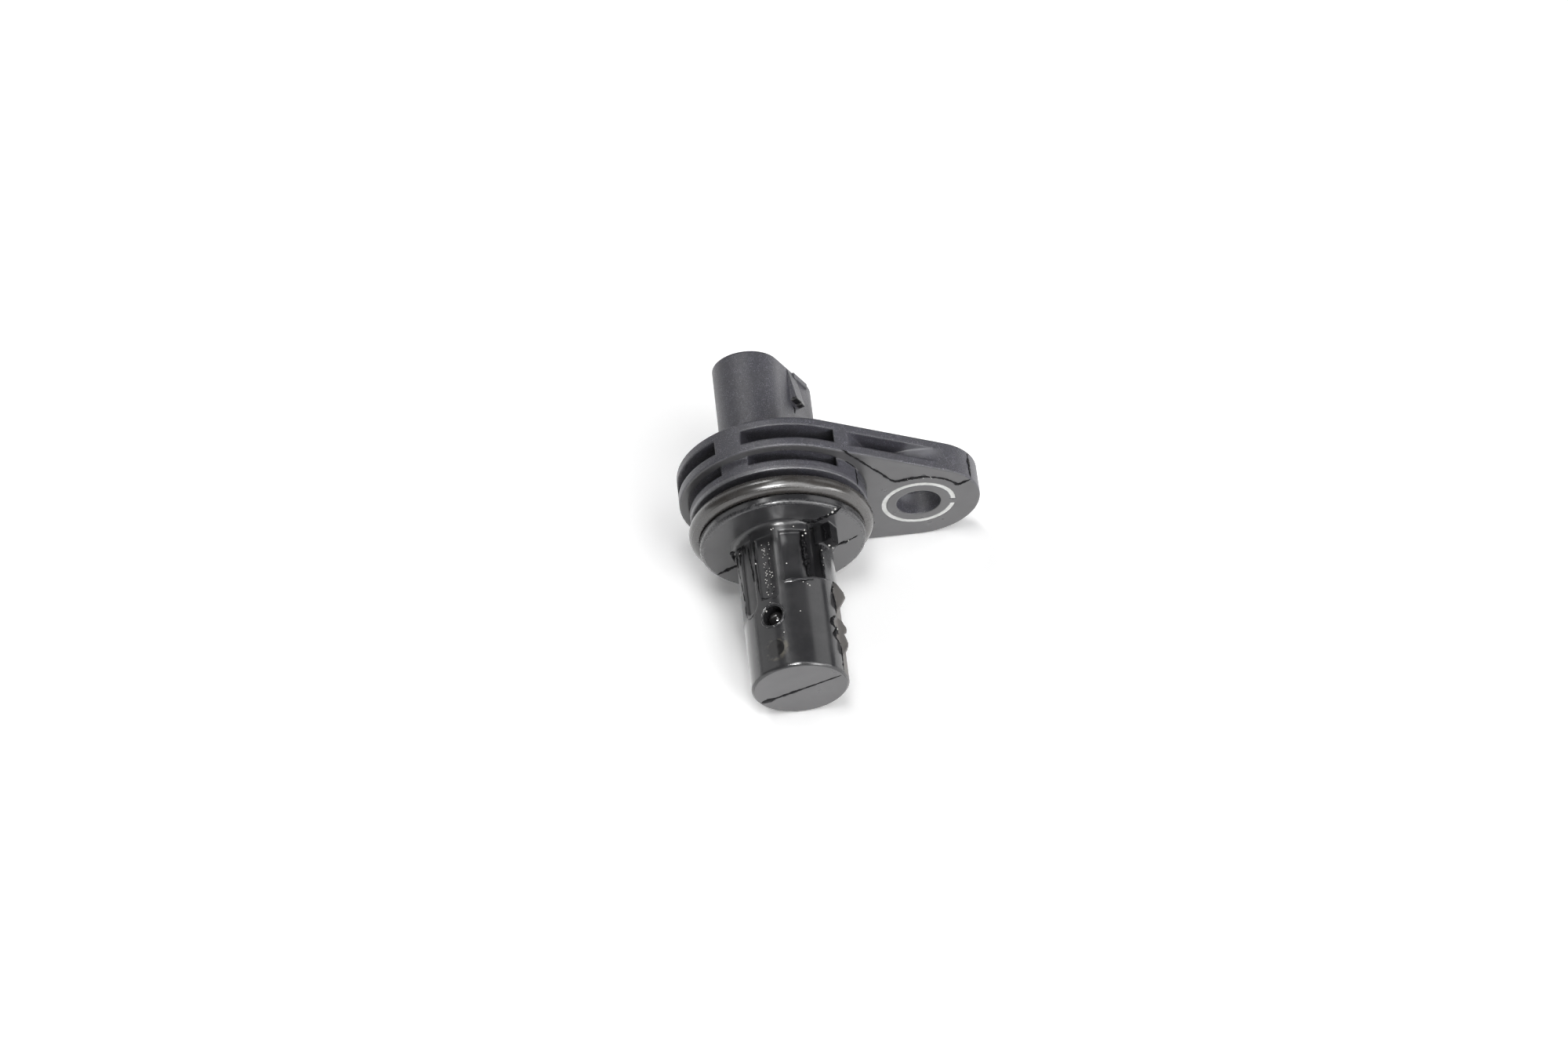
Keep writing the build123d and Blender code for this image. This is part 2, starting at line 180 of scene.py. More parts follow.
def ridge(corners, facing, width, height, seed, ragged=0.5, sway=0.0, step=0.07, sides=10):
    """A ragged line of flash on a surface that faces one way, or a way that a function gives.

    An ellipse of half the width and of the height is carried along the line, across it and along
    the way that the surface faces. Both half measures rise and fall at random, and sink to nothing
    at the two ends as the square root of the distance from the end.
    """
    line, places = evenly(corners, step)
    out = np.broadcast_to(facing(line) if callable(facing) else facing, line.shape)
    along = np.gradient(line, axis=0)
    across = np.cross(along, out)
    across /= np.linalg.norm(across, axis=1, keepdims=True)
    share = np.clip(np.minimum(places, places[-1] - places) / (3 * width), 0, 1) ** 0.5
    coarse, fine = WIDTH_TURNS
    rough = 1 + wander(places, ragged, coarse, seed) + wander(places, ragged / 2, fine, seed + 1)
    coarse, fine = HEIGHT_TURNS
    tall = 1 + wander(places, ragged, coarse, seed + 2) + wander(places, ragged / 2, fine, seed + 3)
    half = (width / 2 * np.maximum(rough, 0.15) * share)[:, None, None]
    rise = (height * np.maximum(tall, 0.1) * share)[:, None, None]
    line = line + across * (wander(places, sway, SWAY_TURNS, seed + 4) * share)[:, None]
    turn = np.linspace(0, 2 * pi, sides, endpoint=False)[None, :, None]
    rings = line[:, None] + half * np.cos(turn) * across[:, None] + rise * np.sin(turn) * out[:, None]
    return outward(*closed_tube(rings))


def beads(places, facing, radii, heights, seed, lumpy=0.0, rings=5, sides=8):
    """Small closed ellipsoids: a unit sphere's grid, scaled along each facing and across it."""
    draws = np.random.default_rng(seed)
    out = np.broadcast_to(facing, places.shape)
    out = out / np.linalg.norm(out, axis=1, keepdims=True)
    helper = np.where(np.abs(out[:, 2:]) < 0.9, FORWARD, SIDEWAYS)
    first = np.cross(helper, out)
    first /= np.linalg.norm(first, axis=1, keepdims=True)
    second = np.cross(out, first)
    lift = np.linspace(0, pi, rings + 2)[1:-1, None]
    turn = np.linspace(0, 2 * pi, sides, endpoint=False)[None, :]
    ball = np.stack([np.sin(lift) * np.cos(turn), np.sin(lift) * np.sin(turn), np.cos(lift) + 0 * turn], -1)
    solids = []
    for i, place in enumerate(places):
        lumps = 1 + draws.uniform(-lumpy, lumpy, ball.shape[:2] + (1,))
        scale = ball * lumps * [radii[i], radii[i], heights[i]]
        solids.append(outward(*closed_tube(place + scale @ np.array([first[i], second[i], out[i]]))))
    return solids


def added(name, data):
    """A new object with this data in the scene."""
    made = bpy.data.objects.new(name, data)
    bpy.context.scene.collection.objects.link(made)
    return made


def piece(name, solids, material):
    """One object from closed solids in tool places, with its finish, riding on the sensor."""
    points, faces, start = [], [], 0
    for corners, quads, triangles in solids:
        points.append(corners)
        faces += (quads + start).tolist() + (triangles + start).tolist()
        start += len(corners)
    mesh = bpy.data.meshes.new(name)
    mesh.from_pydata(placed(np.concatenate(points)), [], faces)
    mesh.shade_smooth()
    mesh.materials.append(material)
    made = added(name, mesh)
    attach(made, BODY)


def dress(name, material):
    """Gives a node of the frame its finish."""
    mesh = frame["nodes"][name].data
    mesh.materials.clear()
    mesh.materials.append(material)


BEVEL_SAMPLES = 6


class Finish:
    """One material's nodes, with short calls for the kinds that the finishes share."""

    def __init__(self, name, colour=(0.5, 0.5, 0.5), roughness=0.4, metal=0.0, index=1.5):
        self.material = bpy.data.materials.new(name)
        self.material.use_nodes = True
        self.tree = self.material.node_tree
        self.tree.nodes.clear()
        self.shader = self.tree.nodes.new("ShaderNodeBsdfPrincipled")
        self.set("Base Color", (*colour, 1))
        self.set("Roughness", roughness)
        self.set("Metallic", metal)
        self.set("IOR", index)
        self.surface = self.tree.nodes.new("ShaderNodeOutputMaterial").inputs["Surface"]
        self.feed(self.surface, self.shader.outputs["BSDF"])
        self.place = self.tool_place()

    def node(self, kind, values=None, **settings):
        """The outputs of a new node with these settings and values on its inputs."""
        made = self.tree.nodes.new(kind)
        for key, value in settings.items():
            setattr(made, key, value)
        for socket, value in (values or {}).items():
            self.feed(made.inputs[socket], value)
        return made.outputs

    def feed(self, socket, value):
        """Links an output to a socket, or writes a plain value on it."""
        if isinstance(value, bpy.types.NodeSocket):
            self.tree.links.new(value, socket)
        else:
            socket.default_value = value

    def set(self, socket, value):
        """Links or writes one of the shader's own sockets."""
        self.feed(self.shader.inputs[socket], value)

    def tool_place(self):
        """The place on the sensor in the tool's directions, in millimetres."""
        return self.node("ShaderNodeMapping", {
            "Vector": self.node("ShaderNodeTexCoord")["Object"],
            "Location": -TOOL_AXES @ CENTRE / MM,
            "Rotation": Matrix(TOOL_AXES.tolist()).to_euler("XYZ"),
            "Scale": (1 / MM,) * 3}, vector_type="POINT")["Vector"]

    def parts(self):
        """The three measures of the tool place."""
        return self.node("ShaderNodeSeparateXYZ", {0: self.place})

    def joined(self, *measures):
        """A vector from three measures."""
        return self.node("ShaderNodeCombineXYZ", dict(enumerate(measures)))[0]

    def maths(self, operation, *values):
        """One operation on plain values or outputs."""
        return self.node("ShaderNodeMath", dict(enumerate(values)), operation=operation)[0]

    def times(self, first, *others):
        """The product of plain values or outputs."""
        for other in others:
            first = self.maths("MULTIPLY", first, other)
        return first

    def plus(self, first, *others):
        """The sum of plain values or outputs."""
        for other in others:
            first = self.maths("ADD", first, other)
        return first

    def length(self, first, second):
        """The root of the sum of two squares."""
        return self.maths("SQRT", self.maths("MULTIPLY_ADD", second, second, self.times(first, first)))

    def rise(self, value, low, high, start=0.0, stop=1.0):
        """Start below low and stop above high, smooth in between."""
        numbers = dict(enumerate((value, low, high, start, stop)))
        return self.node("ShaderNodeMapRange", numbers, interpolation_type="SMOOTHSTEP")[0]

    def band(self, value, middle, half, soft):
        """1 within half of the middle, falling to 0 over a soft margin."""
        away = self.maths("ABSOLUTE", self.maths("SUBTRACT", value, middle))
        return self.rise(away, half, half + soft, 1.0, 0.0)

    def noise(self, size, detail=2.0, place=None, contrast=0.5):
        """Fractal noise with features of about this many millimetres."""
        return self.node("ShaderNodeTexNoise", {
            "Vector": place or self.place, "Scale": 1 / size, "Detail": detail, "Roughness": contrast})["Fac"]

    def grains(self, size):
        """The distance to the nearest of scattered points about a size apart."""
        return self.node("ShaderNodeTexVoronoi", {"Vector": self.place, "Scale": 1 / size})["Distance"]

    def blend(self, share, first, second):
        """A number between two."""
        return self.node("ShaderNodeMix", {0: share, 2: first, 3: second}, data_type="FLOAT")[0]

    def tint(self, share, first, second):
        """A colour between two."""
        first, second = ((*value, 1) if isinstance(value, tuple) else value for value in (first, second))
        return self.node("ShaderNodeMix", {0: share, 6: first, 7: second}, data_type="RGBA")[2]

    def bevel(self, radius):
        """Normals that round every edge by this many millimetres."""
        reach = radius * MM if isinstance(radius, float) else self.times(radius, MM)
        return self.node("ShaderNodeBevel", {"Radius": reach}, samples=BEVEL_SAMPLES)[0]

    def bump(self, height, normal=None):
        """Normals of a relief whose height is in millimetres, over other normals if there are any."""
        over = {} if normal is None else {"Normal": normal}
        return self.node("ShaderNodeBump", {"Distance": MM, "Height": height, **over})[0]


class SensorColours(bpy.types.PropertyGroup):
    """Colours and gloss of the sensor's materials."""

    nylon: bpy.props.FloatVectorProperty(
        name="Nylon", description="Matte nylon of the flange and plug", subtype="COLOR",
        default=(0.052, 0.051, 0.063), min=0, max=1)
    bare_nylon: bpy.props.FloatVectorProperty(
        name="Bare nylon", description="Paler nylon of the mounting face, tip and disc's face",
        subtype="COLOR", default=(0.075, 0.074, 0.077), min=0, max=1)
    # Its pale colour partly paints the sheen that the rough torn surface catches
    torn_sheen_nylon: bpy.props.FloatVectorProperty(
        name="Torn nylon", description="Pale rough nylon of the fins and of the nose beyond the parting line",
        subtype="COLOR", default=(0.150, 0.143, 0.138), min=0, max=1)
    polished_nylon: bpy.props.FloatVectorProperty(
        name="Polished nylon", description="Glossy nylon of the disc and nose", subtype="COLOR",
        default=(0.026, 0.026, 0.028), min=0, max=1)
    flash: bpy.props.FloatVectorProperty(
        name="Flash", description="Thin black flash along the parting line", subtype="COLOR",
        default=(0.010, 0.010, 0.011), min=0, max=1)
    rubber: bpy.props.FloatVectorProperty(
        name="Rubber", description="Brown-grey rubber of the seal ring", subtype="COLOR",
        default=(0.044, 0.0415, 0.040), min=0, max=1)
    steel: bpy.props.FloatVectorProperty(
        name="Steel", description="Sawn steel of the bush", subtype="COLOR",
        default=(0.52, 0.52, 0.51), min=0, max=1)
    # Colour of the specks and of a share of the pips, pale to paint their glints
    grit: bpy.props.FloatVectorProperty(
        name="Grit", description="Pale grit and bright specks", subtype="COLOR",
        default=(0.72, 0.71, 0.69), min=0, max=1)
    matte_roughness: bpy.props.FloatProperty(
        name="Matte roughness", description="Roughness of the flange and plug",
        default=0.44, min=0, max=1, subtype="FACTOR")
    face_roughness: bpy.props.FloatProperty(
        name="Face roughness", description="Roughness of the mounting face and the tip",
        default=0.3, min=0, max=1, subtype="FACTOR")
    gloss_roughness: bpy.props.FloatProperty(
        name="Gloss roughness", description="Roughness of the disc and nose",
        default=0.18, min=0, max=1, subtype="FACTOR")


class SensorSizes(bpy.types.PropertyGroup):
    """Sizes of the small forms that the mould and the marking left, in metres."""

    flash_width: bpy.props.FloatProperty(
        name="Flash width", description="Width of the thin flash lines",
        default=0.28 * MM, min=0, unit="LENGTH", precision=6)
    flash_height: bpy.props.FloatProperty(
        name="Flash height", description="How far the thin flash lines stand out",
        default=0.07 * MM, min=0, unit="LENGTH", precision=6)
    pip_radius: bpy.props.FloatProperty(
        name="Pip radius", description="Radius of the marking's pips",
        default=0.085 * MM, min=0, unit="LENGTH", precision=6)
    lip_radius: bpy.props.FloatProperty(
        name="Lip radius", description="Radius of the thin lip round the pin hole",
        default=1.82 * MM, min=0, unit="LENGTH", precision=6)
    speck_radius: bpy.props.FloatProperty(
        name="Speck radius", description="Radius of the bright specks",
        default=0.09 * MM, min=0, unit="LENGTH", precision=6)


class SensorStudio(bpy.types.PropertyGroup):
    """The camera, lamps and floor."""

    azimuth: bpy.props.FloatProperty(
        name="Azimuth", description="Way that the camera looks, from +Y towards +X",
        default=radians(1.025), subtype="ANGLE")
    elevation: bpy.props.FloatProperty(
        name="Elevation", description="How steeply the camera looks down",
        default=radians(45.204), subtype="ANGLE")
    roll: bpy.props.FloatProperty(
        name="Roll", description="Turn of the camera about its line of sight",
        default=radians(-5.795), subtype="ANGLE")
    distance: bpy.props.FloatProperty(
        name="Distance", description="From the camera to the point it is aimed at",
        default=0.57205, unit="LENGTH")
    aim: bpy.props.FloatVectorProperty(
        name="Aim", description="The point that the camera is aimed at",
        default=(-0.007154, 0.002657, 0.012108), subtype="TRANSLATION", unit="LENGTH")
    lens: bpy.props.FloatProperty(
        name="Lens", description="Focal length in millimetres on a 36 mm sensor", default=90.0, min=1)
    floor_colour: bpy.props.FloatVectorProperty(
        name="Floor", description="Colour of the floor under the lamps", subtype="COLOR",
        default=(0.78, 0.78, 0.78), min=0, max=1)
    floor_seen: bpy.props.FloatProperty(
        name="Floor to the camera", description="How many times the floor's colour the camera sees",
        default=1.6, min=0)
    floor_mirrored: bpy.props.FloatProperty(
        name="Floor in reflections", description="How many times the floor's colour glossy surfaces see",
        default=1.55, min=0)
    floor_glow: bpy.props.FloatProperty(
        name="Floor glow", description="Light that glossy surfaces see from the floor itself",
        default=0.42, min=0)
    lamp_level: bpy.props.FloatProperty(
        name="Lamps", description="Multiplies the radiance of every lamp", default=1.0, min=0)
    room_level: bpy.props.FloatProperty(
        name="Room", description="Radiance of the room behind the lamps", default=0.06, min=0)


FLOOR_SIDE = 6.0
FLOOR_DROP = 0.00002
SENSOR_WIDTH = 36.0
CLIP = (0.01, 20.0)
LAMP_DISTANCE = 1.0
# The lamp beside the camera gives highlights alone, with no diffuse light
HIGHLIGHT_LAMP = "camera_side_lamp"
# Soft boxes round the part: azimuth and elevation in degrees, width and height in metres, radiance.
# Azimuth 180 is the camera's side, and 90 is the ear's.
LAMPS = {
    "overhead_box": (180, 77, 0.24, 0.42, 8.3),
    "back_box": (330, 57, 0.28, 0.32, 10.8),
    "front_strip": (150, 38, 0.42, 1.00, 4.5),
    "front_low_box": (135, 7, 0.78, 0.20, 14.5),
    "right_fill": (60, 30, 0.45, 0.65, 1.3),
    "left_fill": (305, 25, 0.55, 0.80, 0.9),
    HIGHLIGHT_LAMP: (188, 45, 0.26, 0.12, 160.0),
}


def heading(azimuth, elevation):
    """The way at an azimuth, from +Y towards +X, and an elevation, both in radians."""
    return Vector((sin(azimuth) * cos(elevation), cos(azimuth) * cos(elevation), sin(elevation)))


def lamp(name, azimuth, elevation, width, height, radiance, target):
    """A soft box that faces the target; its power is radiance times pi times its area."""
    data = bpy.data.lights.new(name, "AREA")
    data.shape = "RECTANGLE"
    data.size, data.size_y = width, height
    data.energy = radiance * pi * width * height
    made = added(name, data)
    away = heading(radians(azimuth), radians(elevation))
    made.location = Vector(target) + away * LAMP_DISTANCE
    made.rotation_euler = away.to_track_quat("Z", "Y").to_euler()
    made.visible_diffuse = name != HIGHLIGHT_LAMP


def camera(studio):
    """The camera at the photograph's view: its columns are its right, its up and away from what it sees."""
    ahead = heading(studio.azimuth, -studio.elevation)
    level = ahead.cross(Vector((0, 0, 1))).normalized()
    right = cos(studio.roll) * level + sin(studio.roll) * level.cross(ahead)
    data = bpy.data.cameras.new("camera")
    data.lens = studio.lens
    data.sensor_width = SENSOR_WIDTH
    data.clip_start, data.clip_end = CLIP
    made = added("camera", data)
    place = Matrix((right, right.cross(ahead), -ahead)).transposed().to_4x4()
    place.translation = Vector(studio.aim) - ahead * studio.distance
    made.matrix_world = place
    return made


def floor_material(studio):
    """A pale matte floor, paler to the camera and in reflections: its colour times a share for each ray."""
    finish = Finish("pale_floor")
    seen = finish.node("ShaderNodeLightPath")
    mirrored = finish.maths("MAXIMUM", seen["Is Glossy Ray"], seen["Is Transmission Ray"])
    share = finish.maths("MULTIPLY_ADD", seen["Is Camera Ray"], studio.floor_seen - 1, 1.0)
    share = finish.maths("MULTIPLY_ADD", mirrored, studio.floor_mirrored - 1, share)
    plain = {0: tuple(studio.floor_colour), "Scale": share}
    colour = finish.node("ShaderNodeVectorMath", plain, operation="SCALE")[0]
    matte = finish.node("ShaderNodeBsdfDiffuse", {"Color": colour})[0]
    glow = finish.node("ShaderNodeEmission", {"Strength": finish.times(mirrored, studio.floor_glow)})[0]
    finish.feed(finish.surface, finish.node("ShaderNodeAddShader", {0: matte, 1: glow})[0])
    finish.tree.nodes.remove(finish.shader)
    return finish.material


def sky(studio):
    """The dim room behind the lamps; the floor reaches far enough to be the whole background."""
    world = bpy.data.worlds.new("studio_room")
    world.use_nodes = True
    tree = world.node_tree
    tree.nodes.clear()
    light = tree.nodes.new("ShaderNodeBackground")
    light.inputs["Color"].default_value = (1, 1, 1, 1)
    light.inputs["Strength"].default_value = studio.room_level
    output = tree.nodes.new("ShaderNodeOutputWorld")
    tree.links.new(light.outputs[0], output.inputs["Surface"])
    return world


class SENSOR_OT_stage(bpy.types.Operator):
    """Lay the floor, light the part and set the camera at the photograph's view"""

    bl_idname = "sensor.stage"
    bl_label = "Studio"

    def execute(self, context):
        scene = context.scene
        studio = scene.sensor_studio
        half = FLOOR_SIDE / 2
        mesh = bpy.data.meshes.new("floor")
        corners = [(x * half, y * half, -FLOOR_DROP) for x, y in ((-1, -1), (1, -1), (1, 1), (-1, 1))]
        mesh.from_pydata(corners, [], [(0, 1, 2, 3)])
        mesh.materials.append(floor_material(studio))
        floor = added("floor", mesh)
        scene.world = sky(studio)
        target = (CAD_BOX[0] + CAD_BOX[1]) / 2
        for name, (azimuth, elevation, width, height, radiance) in LAMPS.items():
            lamp(name, azimuth, elevation, width, height, radiance * studio.lamp_level, target)
        scene.camera = camera(studio)
        scene.view_settings.view_transform = "Standard"
        return {"FINISHED"}


# Where the parting line of the nose strays: station, half length, soft margin, and degrees
PARTING_STRAYS = (
    (18.7, 0.1, 0.8, 4.5), (23.85, 0.3, 0.45, 10.0), (26.15, 0.25, 0.4, 9.0), (29.5, 2.0, 0.6, -3.0))
PARTING_ANGLE = 0.5
# The housing's regions. Each is a product of limits on its measures: a rising pair is where it starts
# and is full, a falling pair where it is gone and still full, and three numbers are a middle, a half
# length and a margin.
REGIONS = {
    "front": [("along", NECK_HIGH + 0.02, NECK_HIGH + 0.06)],
    "tip": [("along", TIP_STATION - 0.05, TIP_STATION - 0.01)],
    "face": [("along", 0.0, 0.03, 0.04), ("radius", NECK_RADIUS - 0.05, NECK_RADIUS + 0.05)],
    "side": [("angle", 101.0, 114.0), ("along", DISC_END, DISC_END + 0.8), ("along", 22.5, 20.0)],
    "neck_edge": [("along", 2.75, 0.28, 0.1), ("radius", 12.2, 12.6)],
    # Painted shade: the latch's locking faces and the web beside the slot are painted near-black
    "lock": [("along", RAMP_LOCK, 0.4, 0.1), ("across", 4.72, 4.80)],
    "web": [("across", 7.15, 7.3), ("opening", 0.8, 1.3, 0.1), ("along", 9.8, 1.4, 0.1)],
    # Painted light: the ramp of the boss in the ear pocket, painted paler where it catches the light
    "lit_boss": [("reach", 16.8, 18.0), ("reach", 23.5, 20.0), ("along", POCKET_MIDDLE, 1.05, 0.1),
             ("along", POCKET_MIDDLE + 1.0, POCKET_MIDDLE - 0.8)],
    "disc_face": [("along", DISC_END, 0.03, 0.05), ("radius", 7.6, 7.9)],
    "disc_rim": [("along", DISC_END - 0.3, 0.3, 0.1), ("radius", 11.4, 11.7)],
    "root": [("along", 8.6, 0.5, 0.3), ("radius", 7.3, 0.6, 0.3)],
    "torn": [("angle", -75.0, -35.0), ("along", 16.6, 17.9), ("along", 31.6, 31.3)],
    "skin": [("radius", 6.6, 6.8)],
    "nose": [("along", DISC_END, DISC_END + 0.8)],
}
# Roughness and specular level of some regions, each laid over the ones before
REGION_ROUGHNESS = {"side": 0.5, "neck_edge": 0.38, "torn": 0.6, "disc_face": 0.30}
REGION_SHINE = {"torn": 0.2, "disc_face": 0.62, "neck_edge": 1.0, "web": 0.05}
RIM_ROUGHNESS = (0.16, 0.42)
BLACK_ROUGHNESS = 0.3
CLOUDING = 0.16
# Colours laid over the nylon's own
CLOUD_TINT = (0.055, 0.054, 0.056)
MOTTLE_TINT = (0.020, 0.020, 0.026)
# Painted glints: pale flecks that paint the sparkle of the matte nylon's grain
GLINT_FLECK_TINT = (0.30, 0.30, 0.36)
# Painted light on the ear pocket's boss
BOSS_PAINTED_LIGHT = (0.145, 0.145, 0.16)
# Painted shade on the latch's locking faces and the web, and the mark's own dark edge
SHADE_AND_MARK_BLACK = (0.008, 0.008, 0.009)
HALO_TINT = (0.135, 0.125, 0.100)
# Heights of the relief and radii of the rounded edges, in millimetres
GRAIN_HEIGHT, POLISH_HEIGHT, TORN_HEIGHT = 0.060, 0.0008, 0.06
RIPPLE_HEIGHT, SCORE_HEIGHT, DENT_DEPTH = 0.010, 0.005, 0.03
EDGE_MATTE, EDGE_NOSE, EDGE_GLOSS, EDGE_ROOT = 0.5, 0.42, 0.30, 0.85
# The round mark over the carrier's flush pin: radii of its dark edge and of its pale halo
MARK_EDGE, MARK_HALO = 1.15, 1.5


def housing_measures(finish):
    """The tool place's measures, the distance from the nose axis, the angle about it and the ear's way."""
    across, opening, along = finish.parts()
    return {
        "across": across, "opening": opening, "along": along,
        "radius": finish.length(across, opening),
        "angle": finish.times(finish.maths("ARCTAN2", opening, across), degrees(1)),
        "reach": finish.maths("MULTIPLY_ADD", opening, -sin(TOOL_TURN), finish.times(across, cos(TOOL_TURN))),
    }


def housing_regions(finish, measures):
    """Each region's share, the product of its limits: 1 well inside it and 0 outside."""
    shares = {}
    for name, limits in REGIONS.items():
        parts = []
        for measure, *numbers in limits:
            value = measures[measure]
            if len(numbers) == 3:
                parts.append(finish.band(value, *numbers))
            elif numbers[0] < numbers[1]:
                parts.append(finish.rise(value, *numbers))
            else:
                parts.append(finish.rise(value, numbers[1], numbers[0], 1.0, 0.0))
        shares[name] = finish.times(*parts)
    edge = PARTING_ANGLE
    for station, half, soft, stray in PARTING_STRAYS:
        edge = finish.maths("MULTIPLY_ADD", finish.band(measures["along"], station, half, soft), stray, edge)
    past = finish.rise(finish.maths("SUBTRACT", edge, measures["angle"]), -0.4, 0.4)
    shares["torn"] = finish.times(past, shares["torn"])
    front, face, tip = shares["front"], shares["face"], shares["tip"]
    shares["smooth"] = finish.maths("MAXIMUM", face, tip)
    shares["polished"] = finish.maths("SUBTRACT", front, tip)
    shares["matte"] = finish.maths("SUBTRACT", 1.0, finish.maths("MAXIMUM", front, face))
    # painted shade: the locking faces, and most of the web beside the slot, are painted near-black
    shares["black"] = finish.maths("MAXIMUM", shares["lock"], finish.times(shares["web"], 0.8))
    for name in ("skin", "nose"):
        shares[name] = finish.times(shares[name], shares["polished"])
    return shares


def housing_gloss(finish, colours, shares, cloud):
    """Sets the roughness and the specular level, region over region."""
    roughness = finish.blend(shares["matte"], colours.gloss_roughness, colours.matte_roughness)
    roughness = finish.blend(shares["smooth"], roughness, colours.face_roughness)
    roughness = finish.plus(roughness, finish.maths("MULTIPLY_ADD", cloud, CLOUDING, -CLOUDING / 2))
    for name, value in REGION_ROUGHNESS.items():
        roughness = finish.blend(shares[name], roughness, value)
    worn = finish.rise(finish.noise(0.35, 3.0), 0.35, 0.65, *RIM_ROUGHNESS)
    roughness = finish.blend(shares["disc_rim"], roughness, worn)
    finish.set("Roughness", finish.blend(shares["black"], roughness, BLACK_ROUGHNESS))
    shine = 0.5
    for name, value in REGION_SHINE.items():
        shine = finish.blend(shares[name], shine, value)
    finish.set("Specular IOR Level", shine)


def nylon_finish(colours):
    """The housing's nylon.

    It is matte and finely grained on the flange, neck and plug, smooth on the mounting face and the tip,
    and polished on the seal groove, disc and nose. Past the nose's parting line it is rough, and painted
    pale for part of the sheen that the rough surface catches. A round mark with a pale halo stands over
    the carrier's flush pin. Painted light: pale flecks paint glints in the matte nylon, the disc's face is
    painted paler towards its lower side, and the boss in the ear pocket is painted paler. Painted shade:
    the latch's locking faces and the web beside the slot are painted near-black.
    """
    finish = Finish("moulded_nylon", index=1.54)
    measures = housing_measures(finish)
    shares = housing_regions(finish, measures)
    along, angle, matte, skin = measures["along"], measures["angle"], shares["matte"], shares["skin"]
    cloud, glaze = finish.noise(3.2, 4.0), finish.noise(0.9, 3.0)
    housing_gloss(finish, colours, shares, cloud)
    # The mark: distance from its middle over the nose's surface, and a patchy share for its halo
    arc = finish.times(finish.maths("SUBTRACT", angle, PIN_ANGLE), radians(NOSE_RADIUS))
    rise = finish.maths("SUBTRACT", along, MARK_STATION)
    from_mark = finish.length(rise, arc)
    mark_edge = finish.times(finish.band(from_mark, MARK_EDGE, 0.02, 0.28), skin)
    uneven = finish.plus(glaze, finish.times(arc, -0.06), finish.times(rise, 0.05))
    halo = finish.times(finish.band(from_mark, MARK_HALO, 0.06, 0.6), skin, finish.rise(uneven, 0.38, 0.72))
    # The colours, each laid over the ones before
    # Painted glints: pale flecks in patches of the matte nylon paint the sparkle that its grain shows in the
    # light
    glint_grains = finish.rise(finish.grains(0.17), 0.14, 0.34, 1.0, 0.0)
    glint_flecks = finish.times(matte, glint_grains, finish.rise(glaze, 0.36, 0.62))
    mottle = finish.rise(finish.noise(0.32, 2.0), 0.38, 0.66, 0.0, 0.4)
    # Painted light: the disc's face is painted paler towards its lower side, for the lighter sheen it shows
    # there, while its upper side keeps the dark reflection of the nose
    lower_disc_light = finish.times(shares["disc_face"], finish.rise(measures["opening"], 1.0, 6.0, 0.7, 0.0))
    base = finish.tint(shares["front"], tuple(colours.nylon), tuple(colours.polished_nylon))
    for share, colour in (
            (shares["smooth"], colours.bare_nylon), (lower_disc_light, colours.bare_nylon),
            (finish.rise(cloud, 0.35, 0.7, 0.0, 0.35), CLOUD_TINT),
            (finish.times(mottle, matte), MOTTLE_TINT), (finish.times(glint_flecks, 0.65), GLINT_FLECK_TINT),
            # painted light: the boss in the ear pocket is painted paler
            (shares["lit_boss"], BOSS_PAINTED_LIGHT), (shares["torn"], colours.torn_sheen_nylon), (shares["black"], SHADE_AND_MARK_BLACK),
            (finish.times(halo, 0.8), HALO_TINT), (finish.times(mark_edge, 0.6), SHADE_AND_MARK_BLACK)):
        base = finish.tint(share, base, tuple(colour))
    finish.set("Base Color", base)
    # The relief, and the rounding of the edges
    fine = finish.noise(0.17, 1.5, contrast=0.7)
    grain = finish.times(finish.blend(matte, POLISH_HEIGHT, GRAIN_HEIGHT), fine)
    torn = finish.times(shares["torn"], TORN_HEIGHT, glaze)
    ripple = finish.times(finish.noise(2.2, 1.0), RIPPLE_HEIGHT)
    scored = finish.noise(0.9, 5.0, place=finish.joined(angle, 3.0, finish.times(along, 0.35)))
    score = finish.times(scored, SCORE_HEIGHT, shares["nose"])
    dent = finish.times(finish.rise(from_mark, 0.9, 1.25), DENT_DEPTH, skin)
    height = finish.plus(grain, torn, ripple, score, dent)
    edges = finish.blend(matte, finish.blend(shares["nose"], EDGE_GLOSS, EDGE_NOSE), EDGE_MATTE)
    edges = finish.blend(shares["root"], edges, EDGE_ROOT)
    edges = finish.times(edges, finish.blend(skin, 1.0, finish.rise(from_mark, 1.5, 2.0)))
    finish.set("Normal", finish.bump(height, finish.bevel(edges)))
    return finish.material


class SENSOR_OT_housing(bpy.types.Operator):
    """Finish the moulded housing, matte behind the seal and polished in front of it"""

    bl_idname = "sensor.housing"
    bl_label = "Housing finish"

    def execute(self, context):
        dress("sensor_housing", nylon_finish(context.scene.sensor_colours))
        return {"FINISHED"}


# Dark and pale nylon of the carrier, and the rounding of its edges
CARRIER_TINTS = ((0.012, 0.012, 0.013), (0.030, 0.029, 0.028))
EDGE_CARRIER = 0.1


